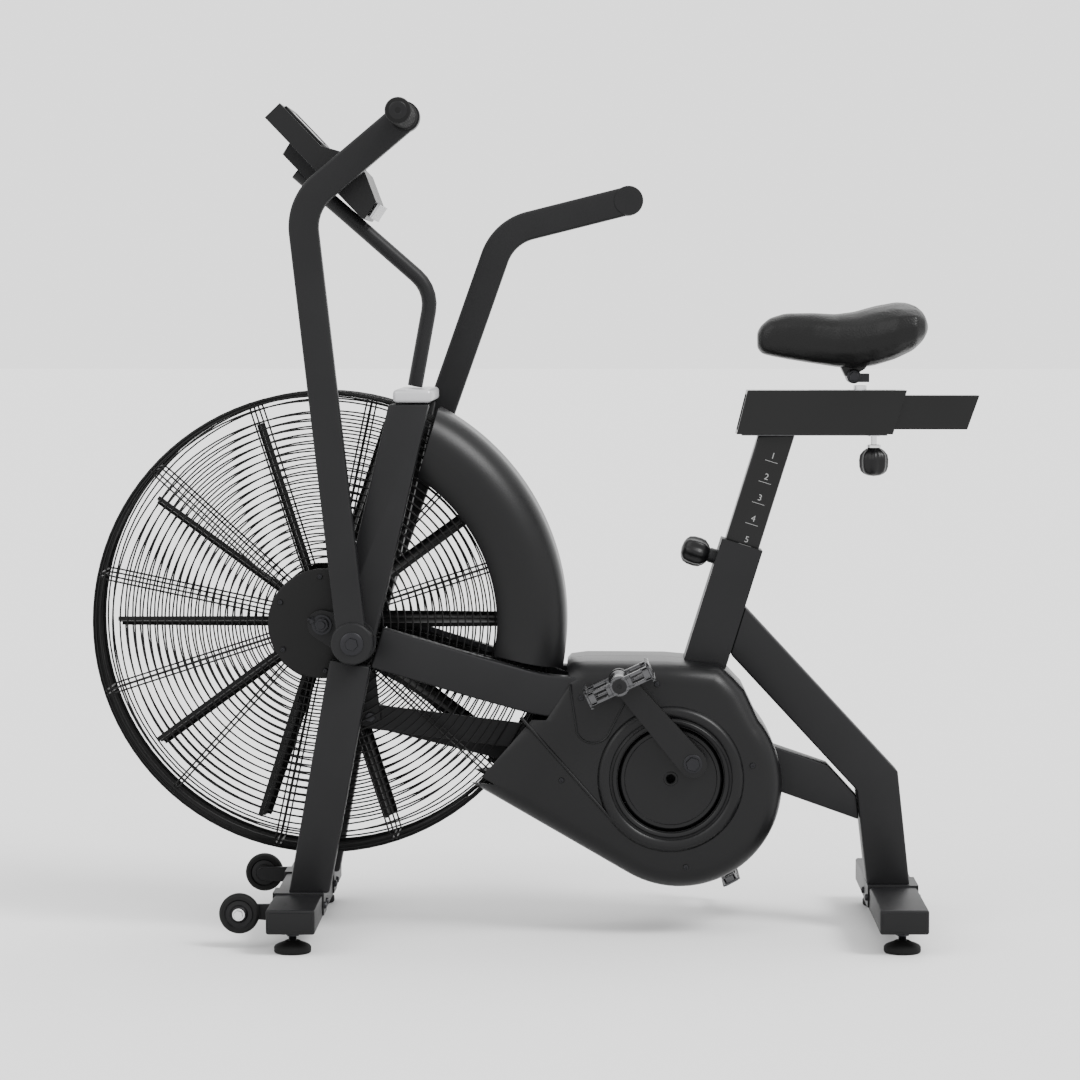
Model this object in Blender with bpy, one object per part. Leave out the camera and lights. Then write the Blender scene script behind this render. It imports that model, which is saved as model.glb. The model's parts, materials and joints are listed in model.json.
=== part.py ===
"""Air bike: a steel frame, a caged fan driven by pedals and by two swinging arms, and an adjustable saddle.

Metres, +Z up. +X points from the fan to the saddle, -Y is the rider's left. The origin is on the floor, under
the middle of the bike. In the tables below a layer is a pair of distances from the middle plane, so the left
and the right piece share it.
"""

import math

import bmesh
import bpy
from mathutils import Matrix, Vector

# Axes that lie along Y, as (X, Z)
FAN = (-0.3085, 0.4555)
ARM_PIVOT = (-0.2600, 0.4340)
CRANK = (0.1970, 0.2340)

# Fan and cage
CAGE_RADIUS = 0.3385
CAGE_PLATE_RADIUS = 0.080
CAGE_RINGS = 4
CAGE_SPOKES = 12
SPOKE_START = math.radians(18)
FAN_RADIUS = 0.305
FAN_BLADES = 10
BLADE_PITCH = math.radians(12)
COVER_RADIUS = 0.355
COVER_INNER = 0.2535

# Drive
CRANK_LENGTH = 0.165
CRANK_ANGLE = math.radians(117)
PIN_OFFSET = 0.040
PIN_ANGLE = math.radians(38.7)
LINK_LENGTH = 0.472
LEVER_LENGTH = 0.1174
CHAINRING_RADIUS = 0.078
FAN_SPROCKET_RADIUS = 0.026

# Arms
ARM_STRAIGHT = 0.6294
ARM_UPPER = 0.1932
ARM_BEND = math.radians(56.5)
ARM_LEVER_ANGLE = math.radians(3.25)
ARM_WIDTH = 0.0425

# Frame
TUBE = 0.060
SEAT_TILT = math.radians(17.3)
SLEEVE_TOP = (0.3024, 0.5686)
SLEEVE_WIDTH = 0.062
POST_WIDTH = 0.0508
KNEE = (0.5010, 0.2217)
REAR_LEG_FOOT = (0.5182, 0.0683)
BAR_BOTTOM, BAR_TOP = 0.032, 0.067
FRONT_BAR_X, REAR_BAR_X = -0.341, 0.524
FRONT_BAR_HALF, REAR_BAR_HALF = 0.260, 0.245
WHEEL = (-0.4195, 0.051)

# Crank housing: a round back that runs into a wedge at the front
HOUSING_CENTRE = (0.2105, 0.2220)
HOUSING_RADIUS = 0.149
HOUSING_WALL = 0.004

# Console: its top corner, and the direction down its face
CONSOLE_CORNER = (-0.3661, 1.2071)
CONSOLE_DOWN = (0.693, -0.721)
CONSOLE_OUT = (0.721, 0.693)

# Layers, in distance from the middle plane
GAP = 0.0003
LAYER_CHAIN = (0.0395, 0.0455)
LAYER_RING = (0.0405, 0.0440)
LAYER_WEB = (0.0393, 0.0453)
LAYER_LINK = (0.0475, 0.0545)
LAYER_LEVER = (0.0560, 0.0620)
LAYER_GRILLE = (0.0668, 0.0712)
LAYER_TUBE = (0.0850, 0.1150)
LAYER_ARM = (0.1305, 0.1555)
LAYER_DISC = (0.0985, 0.1035)
LAYER_CRANK = (0.1130, 0.1290)
LAYER_PEDAL = (0.1400, 0.2300)
LAYER_GRIP = (0.1560, 0.3100)

SIDES = {"left": -1, "right": 1}


def clear_scene():
    for obj in list(bpy.data.objects):
        bpy.data.objects.remove(obj, do_unlink=True)


def material(name, colour, roughness, metallic):
    made = bpy.data.materials.new(name)
    made.use_nodes = True
    shader = made.node_tree.nodes["Principled BSDF"]
    shader.inputs["Base Color"].default_value = (*colour, 1)
    shader.inputs["Roughness"].default_value = roughness
    shader.inputs["Metallic"].default_value = metallic
    return made


# Shapes: each function returns a closed bmesh in world coordinates

def prism(outline, y0, y1):
    """An outline in X and Z, drawn out along Y."""
    bm = bmesh.new()
    near = [bm.verts.new((x, y0, z)) for x, z in outline]
    far = [bm.verts.new((x, y1, z)) for x, z in outline]
    bm.faces.new(near)
    bm.faces.new(list(reversed(far)))
    for i, corner in enumerate(near):
        j = (i + 1) % len(near)
        bm.faces.new((corner, far[i], far[j], near[j]))
    bmesh.ops.recalc_face_normals(bm, faces=bm.faces)
    return bm


def block(x0, x1, y0, y1, z0, z1):
    return prism([(x0, z0), (x1, z0), (x1, z1), (x0, z1)], y0, y1)


def turned(profile, origin, axis, sides=20, loop=False, lobes=0, depth=0.0):
    """A profile of (radius, distance along the axis), turned about the axis. A loop closes on
    itself, for a ring. Lobes make the radius rise and fall round the axis."""
    bm = bmesh.new()
    axis = Vector(axis).normalized()
    across = axis.orthogonal().normalized()
    up = axis.cross(across)
    rings = []
    for radius, along in profile:
        centre = Vector(origin) + axis * along
        if radius == 0:
            rings.append([bm.verts.new(centre)])
            continue
        ring = []
        for i in range(sides):
            turn = 2 * math.pi * i / sides
            reach = radius * (1 + depth * math.cos(lobes * turn))
            ring.append(bm.verts.new(centre + (across * math.cos(turn) + up * math.sin(turn)) * reach))
        rings.append(ring)
    pairs = list(zip(rings, rings[1:]))
    if loop:
        pairs.append((rings[-1], rings[0]))
    for first, second in pairs:
        for i in range(sides):
            j = (i + 1) % sides
            corners = [first[i % len(first)], first[j % len(first)]]
            corners += [second[j % len(second)], second[i % len(second)]]
            bm.faces.new(list(dict.fromkeys(corners)))
    for ring in (rings[0], rings[-1]):
        if len(ring) > 1 and not loop:
            bm.faces.new(ring)
    bmesh.ops.recalc_face_normals(bm, faces=bm.faces)
    return bm


def rod_y(centre, radius, y0, y1, sides=20):
    """A round rod along Y through centre, an (X, Z) point."""
    return turned([(radius, 0), (radius, y1 - y0)], (centre[0], y0, centre[1]), (0, 1, 0), sides)


def ring_y(centre, inner, outer, y0, y1, sides=32):
    profile = [(outer, 0), (outer, y1 - y0), (inner, y1 - y0), (inner, 0)]
    return turned(profile, (centre[0], y0, centre[1]), (0, 1, 0), sides, loop=True)


def arc(centre, radius, start, end, steps):
    """Points of (X, Z) on an arc, from the start angle to the end angle."""
    turns = [start + (end - start) * i / steps for i in range(steps + 1)]
    return [(centre[0] + radius * math.cos(t), centre[1] + radius * math.sin(t)) for t in turns]


def rounded(points, radius, steps=6):
    """A polyline whose inner corners become arcs of one radius."""
    path = [Vector(points[0])]
    for before, corner, after in zip(points, points[1:], points[2:]):
        before, corner, after = Vector(before), Vector(corner), Vector(after)
        back, ahead = (before - corner).normalized(), (after - corner).normalized()
        half = back.angle(ahead) / 2
        reach = radius / math.tan(half)
        centre = corner + (back + ahead).normalized() * (radius / math.sin(half))
        first, last = corner + back * reach - centre, corner + ahead * reach - centre
        for i in range(steps + 1):
            path.append(centre + turned_part(first, last, i / steps))
    path.append(Vector(points[-1]))
    return path


def turned_part(first, last, share):
    """The vector that lies a share of the way round from first to last."""
    turn = math.atan2(first.x * last.y - first.y * last.x, first.dot(last)) * share
    return Matrix.Rotation(turn, 2) @ first


def strip(path, width, end_width=None):
    """The outline of a bar of a given width along a path in X and Z."""
    path = [Vector(point) for point in path]
    end_width = end_width or width
    left, right = [], []
    for i, point in enumerate(path):
        ahead = (path[min(i + 1, len(path) - 1)] - point).normalized()
        behind = (point - path[max(i - 1, 0)]).normalized()
        along = (ahead + behind).normalized()
        normal = Vector((-along.y, along.x))
        lengthen = 1 / max(0.3, along.dot(ahead) if ahead.length else along.dot(behind))
        half = (width + (end_width - width) * i / (len(path) - 1)) / 2 * lengthen
        left.append(point + normal * half)
        right.append(point - normal * half)
    return [tuple(p) for p in left + right[::-1]]


def bar_between(start, end, start_radius, end_radius, steps=8):
    """The outline of a flat bar with round ends, each about a pin."""
    start, end = Vector(start), Vector(end)
    heading = math.atan2(end.y - start.y, end.x - start.x)
    lean = math.acos((start_radius - end_radius) / (end - start).length)
    first = arc(start, start_radius, heading + lean, heading + 2 * math.pi - lean, steps)
    second = arc(end, end_radius, heading - lean, heading + lean, steps)
    return first + second


def polar(centre, radius, angle):
    return (centre[0] + radius * math.cos(angle), centre[1] + radius * math.sin(angle))


def tilted(origin, down, out, points):
    """Local (distance down, distance out) points as (X, Z)."""
    return [(origin[0] + down[0] * s + out[0] * t, origin[1] + down[1] * s + out[1] * t) for s, t in points]


# Objects

def add(name, bm, finish, pivot=None, bevel=0.0, segments=2):
    """The shape as a named object, its origin on the joint's axis if it moves."""
    mesh = bpy.data.meshes.new(name)
    bm.to_mesh(mesh)
    bm.free()
    mesh.materials.append(finish)
    mesh.shade_smooth()
    mesh.set_sharp_from_angle(angle=math.radians(35))
    obj = bpy.data.objects.new(name, mesh)
    bpy.context.scene.collection.objects.link(obj)
    if pivot:
        mesh.transform(Matrix.Translation(-Vector(pivot)))
        obj.location = pivot
    if bevel:
        rounding = obj.modifiers.new("Rounding", "BEVEL")
        rounding.width = bevel
        rounding.segments = segments
        rounding.limit_method = "ANGLE"
        rounding.angle_limit = math.radians(40)
    return obj


def combine(obj, bm, operation):
    """Joins a second shape to an object, or cuts it away."""
    helper = add(f"{obj.name}.{operation.lower()}", bm, obj.data.materials[0])
    helper.hide_render = True
    helper.display_type = "WIRE"
    modifier = obj.modifiers.new(operation.title(), "BOOLEAN")
    modifier.operation = operation
    modifier.solver = "EXACT"
    modifier.object = helper
    return obj


def weld(obj, *shapes):
    for shape in shapes:
        combine(obj, shape, "UNION")
    return obj


def cut(obj, *shapes):
    for shape in shapes:
        combine(obj, shape, "DIFFERENCE")
    return obj


def on_axis(point):
    return (point[0], 0, point[1])


# Mechanism at rest: the crank's angle sets each pin, and the link sets each lever

def crank_pin(side):
    return polar(CRANK, PIN_OFFSET, PIN_ANGLE + (math.pi if side > 0 else 0))


def lever_end(side):
    """Where the link's length, from the crank pin, meets the lever's length, from the arm's pivot."""
    pin, pivot = Vector(crank_pin(side)), Vector(ARM_PIVOT)
    apart = (pin - pivot).length
    along = (LEVER_LENGTH**2 - LINK_LENGTH**2 + apart**2) / (2 * apart)
    across = math.sqrt(LEVER_LENGTH**2 - along**2)
    heading = (pin - pivot).normalized()
    return tuple(pivot + heading * along + Vector((heading.y, -heading.x)) * across)


def arm_lean(side):
    """How far the arm leans back from upright, in radians."""
    end = lever_end(side)
    return math.atan2(ARM_PIVOT[0] - end[0], ARM_PIVOT[1] - end[1]) + ARM_LEVER_ANGLE


# Frame

def make_feet(steel, rubber):
    bars = {"front": (FRONT_BAR_X, FRONT_BAR_HALF), "rear": (REAR_BAR_X, REAR_BAR_HALF)}
    half_width, foot_inset = 0.0347, 0.040
    for end, (x, half) in bars.items():
        bar = block(x - half_width, x + half_width, -half, half, BAR_BOTTOM, BAR_TOP)
        bar = add(f"{end}_foot_bar", bar, steel, bevel=0.003)
        for side_name, side in SIDES.items():
            pad = [(0, 0), (0.024, 0), (0.0265, 0.003), (0.0265, 0.010), (0.020, 0.0155), (0.011, 0.0175)]
            stud = [(0.0065, 0.018), (0.0065, BAR_BOTTOM - GAP), (0, BAR_BOTTOM - GAP)]
            centre = (x, side * (half - foot_inset), 0)
            add(f"levelling_foot_{end}_{side_name}", turned(pad + stud, centre, (0, 0, 1)), rubber)
            if end == "front":
                tongue = bar_between((x - 0.03, 0.050), WHEEL, 0.012, 0.010)
                weld(bar, prism(tongue, side * 0.170, side * 0.176))
                weld(bar, rod_y(WHEEL, 0.0055, side * 0.176, side * 0.205, 12))


def make_side_frame(steel):
    """Per side: a round housing for the arm's shaft. A leg, an upright and a side tube run out of it."""
    housing_radius, clear, proud = 0.032, 0.0325, 0.0005
    pivot = Vector(ARM_PIVOT)
    leg_foot, upright_top = Vector((-0.3265, BAR_TOP + GAP)), Vector((-0.1800, 0.7756))
    for name, side in SIDES.items():
        near, far = side * LAYER_TUBE[0], side * LAYER_TUBE[1]

        leg = strip([pivot + (leg_foot - pivot).normalized() * clear, leg_foot], TUBE)
        leg[1] = (leg[1][0], BAR_TOP + GAP)
        leg[2] = (leg[2][0], BAR_TOP + GAP)
        add(f"front_leg_{name}", prism(leg, near, far), steel, bevel=0.004)

        upright = strip([pivot, upright_top], TUBE)
        upright[1] = (upright[1][0], upright_top.y)
        upright[2] = (upright[2][0], upright_top.y)
        upright = add(f"upright_{name}", prism(upright, near, far), steel, bevel=0.004)
        weld(upright, rod_y(ARM_PIVOT, housing_radius, near - side * proud, far + side * proud))
        weld(upright, prism(bar_between(ARM_PIVOT, FAN, 0.030, 0.021), side * 0.0795, side * 0.0865))
        cut(upright, rod_y(ARM_PIVOT, 0.0126, side * 0.07, side * 0.13))
        cut(upright, rod_y(FAN, 0.0066, side * 0.07, side * 0.13, 16))

        add(f"side_tube_{name}", side_tube(side), steel, bevel=0.004)

    bridge = block(-0.2030, -0.1470, -0.1175, 0.1175, 0.7775, 0.7965)
    add("top_bridge", bridge, FINISH["bracket"], bevel=0.006, segments=3)


def side_tube(side):
    """It runs back from the pivot beside the cage, then bends in to pass inside the crank housing."""
    slope, start = math.radians(-16.5), 0.0340
    straight_end, tube_end = (0.020, 0.3510), (0.1895, 0.3540)
    path = rounded([polar(ARM_PIVOT, start, slope), straight_end, tube_end], 0.25, 4)
    bend_start, bend_end, inward, bend_steps = -0.095, -0.004, 0.0122, 4
    for i in range(bend_steps):
        x = bend_start + (bend_end - bend_start) * i / bend_steps
        path.insert(1 + i, Vector((x, ARM_PIVOT[1] + (x - ARM_PIVOT[0]) * math.tan(slope))))
    bm = bmesh.new()
    outline = strip(path, TUBE)
    upper, lower = outline[:len(path)], outline[:len(path) - 1:-1]
    rings = []
    for middle, above, below in zip(path, upper, lower):
        share = min(1, max(0, (middle[0] - bend_start) / (bend_end - bend_start)))
        shift = inward * share * share * (3 - 2 * share)
        near, far = (side * (layer - shift) for layer in LAYER_TUBE)
        corners = [(above, near), (above, far), (below, far), (below, near)]
        rings.append([bm.verts.new((point[0], y, point[1])) for point, y in corners])
    for first, second in zip(rings, rings[1:]):
        for i in range(4):
            j = (i + 1) % 4
            bm.faces.new((first[i], first[j], second[j], second[i]))
    bm.faces.new(rings[0])
    bm.faces.new(rings[-1])
    bmesh.ops.recalc_face_normals(bm, faces=bm.faces)
    return bm


def make_rear_frame(steel):
    up = Vector((math.sin(SEAT_TILT), math.cos(SEAT_TILT)))
    top = Vector(SLEEVE_TOP)
    foot = top - up * 0.205
    sleeve = add("seat_tube", prism(strip([foot, top], SLEEVE_WIDTH), -0.030, 0.030), steel)
    weld(sleeve, block(0.190, 0.252, -0.0725, 0.0725, 0.3320, 0.3780))
    weld(sleeve, block(0.190, 0.252, -0.1020, 0.1020, 0.3350, 0.3740))
    front = Vector((-math.cos(SEAT_TILT), math.sin(SEAT_TILT)))
    boss_start = knob_axis_origin()
    boss = [(0.011, 0.024), (0.011, 0.040), (0.009, 0.043)]
    weld(sleeve, turned(boss, boss_start, (front.x, 0, front.y), 16))
    cut(sleeve, prism(strip([top - up * 0.213, top + up * 0.02], POST_WIDTH + 0.001), -0.0206, 0.0206))
    cut(sleeve, turned([(0.0045, 0.015), (0.0045, 0.060)], boss_start, (front.x, 0, front.y), 16))

    weld(sleeve, prism([(0.183, 0.240), (0.212, 0.238), (0.228, 0.3400), (0.196, 0.3400)], -0.0255, 0.0255))
    weld(sleeve, rod_y(CRANK, 0.0240, -0.034, 0.034))
    cut(sleeve, rod_y(CRANK, 0.0106, -0.05, 0.05))

    offset = SLEEVE_WIDTH / 2 + GAP
    brace = strip([(0.2985, 0.4400), KNEE, REAR_LEG_FOOT], 0.0630)
    face = top - up * 0.09 + Vector((math.cos(SEAT_TILT), -math.sin(SEAT_TILT))) * offset
    brace[0] = on_line(face, up, brace[0], brace[1])
    brace[-1] = on_line(face, up, brace[-1], brace[-2])
    brace[2] = (brace[2][0], BAR_TOP + GAP)
    brace[3] = (brace[3][0], BAR_TOP + GAP)
    add("rear_brace", prism(brace, -0.030, 0.030), steel, bevel=0.004)

    lower = [(0.2290, 0.2510), (0.4745, 0.1640), (0.4708, 0.1990), (0.4285, 0.2450), (0.2290, 0.3130)]
    add("lower_brace", prism(lower, -0.0245, 0.0245), steel, bevel=0.003)


def on_line(point, heading, start, end):
    """Where the line from start to end crosses the line through point along heading."""
    start, run = Vector(start), Vector(end) - Vector(start)
    gap = Vector(point) - start
    share = (gap.x * heading.y - gap.y * heading.x) / (run.x * heading.y - run.y * heading.x)
    return tuple(start + run * share)


# Fan, cage and cover

def grille(side):
    """A flat grille on a polar grid: a plate, rings and spokes, solid where a ring or a spoke runs."""
    wire, plate_hole = 0.0050, 0.0075
    pitch = (CAGE_RADIUS - 0.006 - CAGE_PLATE_RADIUS) / CAGE_RINGS
    radii = [plate_hole, CAGE_PLATE_RADIUS]
    for i in range(1, CAGE_RINGS):
        middle = CAGE_PLATE_RADIUS + pitch * i
        radii += [middle - wire / 2, middle + wire / 2]
    radii += [CAGE_RADIUS - 0.006, CAGE_RADIUS]
    spread = 0.006
    angles = []
    for i in range(CAGE_SPOKES):
        spoke = SPOKE_START + 2 * math.pi * i / CAGE_SPOKES
        step = 2 * math.pi / CAGE_SPOKES
        angles += [spoke - spread, spoke + spread, spoke + step / 2]
    y0, y1 = sorted((side * LAYER_GRILLE[0], side * LAYER_GRILLE[1]))

    def solid(ring, sector):
        return ring % 2 == 0 or sector % 3 == 0

    bm = bmesh.new()
    points = {}

    def corner(i, j, k):
        key = (i, j % len(angles), k)
        if key not in points:
            x, z = polar(FAN, radii[i], angles[key[1]])
            points[key] = bm.verts.new((x, (y0, y1)[k], z))
        return points[key]

    rings, sectors = len(radii) - 1, len(angles)
    for i in range(rings):
        for j in range(sectors):
            if not solid(i, j):
                continue
            around = [(i, j), (i + 1, j), (i + 1, j + 1), (i, j + 1)]
            for k in (0, 1):
                bm.faces.new([corner(*place, k) for place in around])
            open_edges = [
                (around[0], around[3], i == 0 or not solid(i - 1, j)),
                (around[1], around[2], i == rings - 1 or not solid(i + 1, j)),
                (around[0], around[1], not solid(i, (j - 1) % sectors)),
                (around[3], around[2], not solid(i, (j + 1) % sectors)),
            ]
            for first, second, is_open in open_edges:
                if is_open:
                    edge = [(*first, 0), (*second, 0), (*second, 1), (*first, 1)]
                    bm.faces.new([corner(*place) for place in edge])
    bmesh.ops.recalc_face_normals(bm, faces=bm.faces)
    return bm


def swept_round_fan(section, start, end, steps):
    """A closed section of (radius, Y) points swept about the fan's axis. The angle of each end may
    vary with the radius."""
    bm = bmesh.new()
    rings = []
    for i in range(steps + 1):
        share = i / steps
        ring = []
        for radius, y in section:
            turn = start(radius) + (end(radius) - start(radius)) * share
            x, z = polar(FAN, radius, turn)
            ring.append(bm.verts.new((x, y, z)))
        rings.append(ring)
    for first, second in zip(rings, rings[1:]):
        for i, corner in enumerate(first):
            j = (i + 1) % len(first)
            bm.faces.new((corner, first[j], second[j], second[i]))
    bm.faces.new(rings[0])
    bm.faces.new(list(reversed(rings[-1])))
    bmesh.ops.recalc_face_normals(bm, faces=bm.faces)
    return bm


def cover_section():
    """A rounded channel, open towards the axis: an outer skin, then an inner one 3 mm inside it."""
    half, wall, steps = 0.100, 0.003, 4
    skin = [(COVER_INNER, 0.0755), (COVER_INNER + 0.012, 0.083)]
    for i in range(steps + 1):
        turn = math.pi / 2 * i / steps
        skin.append((COVER_RADIUS - 0.058 + 0.058 * math.sin(turn), half - 0.050 + 0.050 * math.cos(turn)))
    outer = [(r, -y) for r, y in skin] + [(r, y) for r, y in skin[::-1]]
    inner = shrunk(skin, wall)
    return outer + inner + [(r, -y) for r, y in inner[::-1]]


def shrunk(skin, wall):
    """The skin moved in by the wall: less wide, and less far out where it turns over."""
    made = []
    for i, (radius, y) in enumerate(skin):
        share = max(0, (i - 2) / (len(skin) - 3))
        made.append((radius - wall * math.sin(share * math.pi / 2), y - wall * math.cos(share * math.pi / 2)))
    return made


def make_fan(steel, plastic, wire):
    for name, side in SIDES.items():
        cage = add(f"cage_grille_{name}", grille(side), wire)
        cut(cage, rod_y(ARM_PIVOT, 0.0135, side * 0.06, side * 0.08, 16))
    band_inner, band_half = CAGE_RADIUS - 0.004, LAYER_GRILLE[0] - GAP
    band = [(band_inner, -band_half), (band_inner, band_half)]
    band += [(CAGE_RADIUS, band_half), (CAGE_RADIUS, -band_half)]
    split, parting = math.radians(150), GAP / 2 / CAGE_RADIUS
    halves = {
        "cage_rim_upper": (math.radians(-8), split - parting),
        "cage_rim_lower": (split + parting, math.radians(308)),
    }
    for name, (start, end) in halves.items():
        add(name, swept_round_fan(band, lambda radius: start, lambda radius: end, 24), wire)

    top_lean = math.radians(4.7) / (COVER_RADIUS - COVER_INNER)
    def cover_top(radius):
        return math.radians(57) + (radius - COVER_INNER) * top_lean
    cover = swept_round_fan(cover_section(), lambda r: math.radians(-10.5), cover_top, 12)
    add("fan_cover", cover, plastic)

    hub = turned([(0.0070, 0), (0.045, 0), (0.048, 0.010), (0.048, 0.060), (0.045, 0.070), (0.0070, 0.070)],
                 (FAN[0], -0.035, FAN[1]), (0, 1, 0), 24, loop=True)
    wheel = add("fan_wheel", hub, steel, pivot=on_axis(FAN))
    weld(wheel, blades())
    sprocket = [(0.0070, 0), (0.018, 0), (0.018, 0.0052), (FAN_SPROCKET_RADIUS, 0.0052)]
    sprocket += [(FAN_SPROCKET_RADIUS, 0.0087), (0.0070, 0.0087)]
    add("fan_sprocket", turned(sprocket, (FAN[0], 0.0353, FAN[1]), (0, 1, 0), 24, loop=True), steel,
        pivot=on_axis(FAN))
    nut_in, nut_out = 0.0870, 0.0950
    axle = [(0.0060, -0.1000), (0.0060, -nut_out), (0.0110, -nut_out), (0.0110, -nut_in), (0.0060, -nut_in)]
    axle += [(radius, -along) for radius, along in axle[::-1]]
    add("fan_axle", turned(axle, (FAN[0], 0, FAN[1]), (0, 1, 0), 12), steel)


def blades():
    """All the blades: flat plates that run out from the hub, pitched a little."""
    bm = bmesh.new()
    inner, half_depth, half_thick = 0.040, 0.034, 0.0013
    for i in range(FAN_BLADES):
        turn = 2 * math.pi * i / FAN_BLADES
        radial = Vector((math.cos(turn), 0, math.sin(turn)))
        tangent = Vector((-math.sin(turn), 0, math.cos(turn)))
        chord = Vector((0, math.cos(BLADE_PITCH), 0)) + tangent * math.sin(BLADE_PITCH)
        thick = radial.cross(chord)
        centre = Vector((FAN[0], 0, FAN[1]))
        corners = []
        for reach, narrow in ((inner, 1.0), (FAN_RADIUS, 0.8)):
            for a, b in ((-1, -1), (1, -1), (1, 1), (-1, 1)):
                point = centre + radial * reach + chord * (a * half_depth * narrow) + thick * (b * half_thick)
                corners.append(bm.verts.new(point))
        for face in ((0, 1, 2, 3), (7, 6, 5, 4), (0, 4, 5, 1), (1, 5, 6, 2), (2, 6, 7, 3), (3, 7, 4, 0)):
            bm.faces.new([corners[k] for k in face])
    bmesh.ops.recalc_face_normals(bm, faces=bm.faces)
    return bm


# Drive

def make_crank(steel, black, alloy):
    axis = on_axis(CRANK)
    spindle_half = 0.0390
    add("crank_spindle", rod_y(CRANK, 0.010, -spindle_half, spindle_half), steel, pivot=axis)
    web = bar_between(CRANK, crank_pin(-1), 0.020, 0.015)
    add("crank_web", prism(web, -LAYER_WEB[0], -LAYER_WEB[1]), steel, pivot=axis)
    add("chainring", rod_y(CRANK, CHAINRING_RADIUS, *LAYER_RING, 40), steel, pivot=axis)
    for name, side in SIDES.items():
        pin = crank_pin(side)
        pin_start = (LAYER_WEB[1] if side < 0 else LAYER_RING[1]) + GAP
        disc = rod_y(CRANK, 0.0735, side * LAYER_DISC[0], side * LAYER_DISC[1], 40)
        disc = add(f"crank_disc_{name}", disc, black, pivot=axis)
        weld(disc, rod_y(pin, 0.0080, side * pin_start, side * (LAYER_DISC[0] + 0.002), 16))
        cut(disc, rod_y(CRANK, 0.0065, side * 0.09, side * 0.12, 12))

        pedal = pedal_axis(side)
        arm = prism(bar_between(pin, pedal, 0.0205, 0.0150), side * LAYER_CRANK[0], side * LAYER_CRANK[1])
        arm = add(f"crank_arm_{name}", arm, black, pivot=axis)
        weld(arm, rod_y(pin, 0.0170, side * (LAYER_DISC[1] + GAP), side * (LAYER_CRANK[0] + 0.001)))
        weld(arm, rod_y(pedal, 0.0070, side * (LAYER_CRANK[1] - 0.001), side * LAYER_PEDAL[1], 16))
        weld(arm, rod_y(pin, 0.0095, side * (LAYER_CRANK[1] - 0.001), side * (LAYER_CRANK[1] + 0.006), 6))
        make_pedal(name, side, alloy)


def pedal_axis(side):
    return polar(CRANK, CRANK_LENGTH, CRANK_ANGLE + (math.pi if side > 0 else 0))


def make_pedal(name, side, alloy):
    """A caged platform that turns on its spindle: two long plates joined by a round body and end bars."""
    lean = math.radians(25 if side < 0 else -62)
    centre = pedal_axis(side)
    down, out = (math.cos(lean), math.sin(lean)), (-math.sin(lean), math.cos(lean))
    near, far = LAYER_PEDAL
    frame = [(-0.050, -0.012), (0.050, -0.012), (0.050, 0.012), (-0.050, 0.012)]
    window = [(-0.044, -0.020), (0.044, -0.020), (0.044, 0.020), (-0.044, 0.020)]
    pedal = prism(tilted(centre, down, out, frame), side * near, side * far)
    pedal = add(f"pedal_{name}", pedal, alloy, pivot=(centre[0], side * (near + far) / 2, centre[1]))
    cut(pedal, prism(tilted(centre, down, out, window), side * (near + 0.006), side * (far - 0.006)))
    weld(pedal, rod_y(centre, 0.0130, side * near, side * (far - 0.0005)))
    cut(pedal, rod_y(centre, 0.0074, side * (near - 0.01), side * (far + 0.01), 16))


def make_links(steel):
    for name, side in SIDES.items():
        link = bar_between(crank_pin(side), lever_end(side), 0.0190, 0.0180)
        link = prism(link, side * LAYER_LINK[0], side * LAYER_LINK[1])
        link = add(f"link_{name}", link, steel, pivot=on_axis(crank_pin(side)))
        cut(link, rod_y(crank_pin(side), 0.0084, side * 0.04, side * 0.06, 16))


def make_chain(steel):
    """A closed loop round both sprockets, a little clear of each."""
    inner_gap, outer_gap = 0.0008, 0.0095
    bm = bmesh.new()
    loops = []
    for y in LAYER_CHAIN:
        for gap in (inner_gap, outer_gap):
            outline = bar_between(CRANK, FAN, CHAINRING_RADIUS + gap, FAN_SPROCKET_RADIUS + gap, 24)
            loops.append([bm.verts.new((x, y, z)) for x, z in outline])
    for a, b in ((0, 1), (1, 3), (3, 2), (2, 0)):
        for i in range(len(loops[0])):
            j = (i + 1) % len(loops[0])
            bm.faces.new((loops[a][i], loops[a][j], loops[b][j], loops[b][i]))
    bmesh.ops.recalc_face_normals(bm, faces=bm.faces)
    add("drive_chain", bm, steel)


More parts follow.
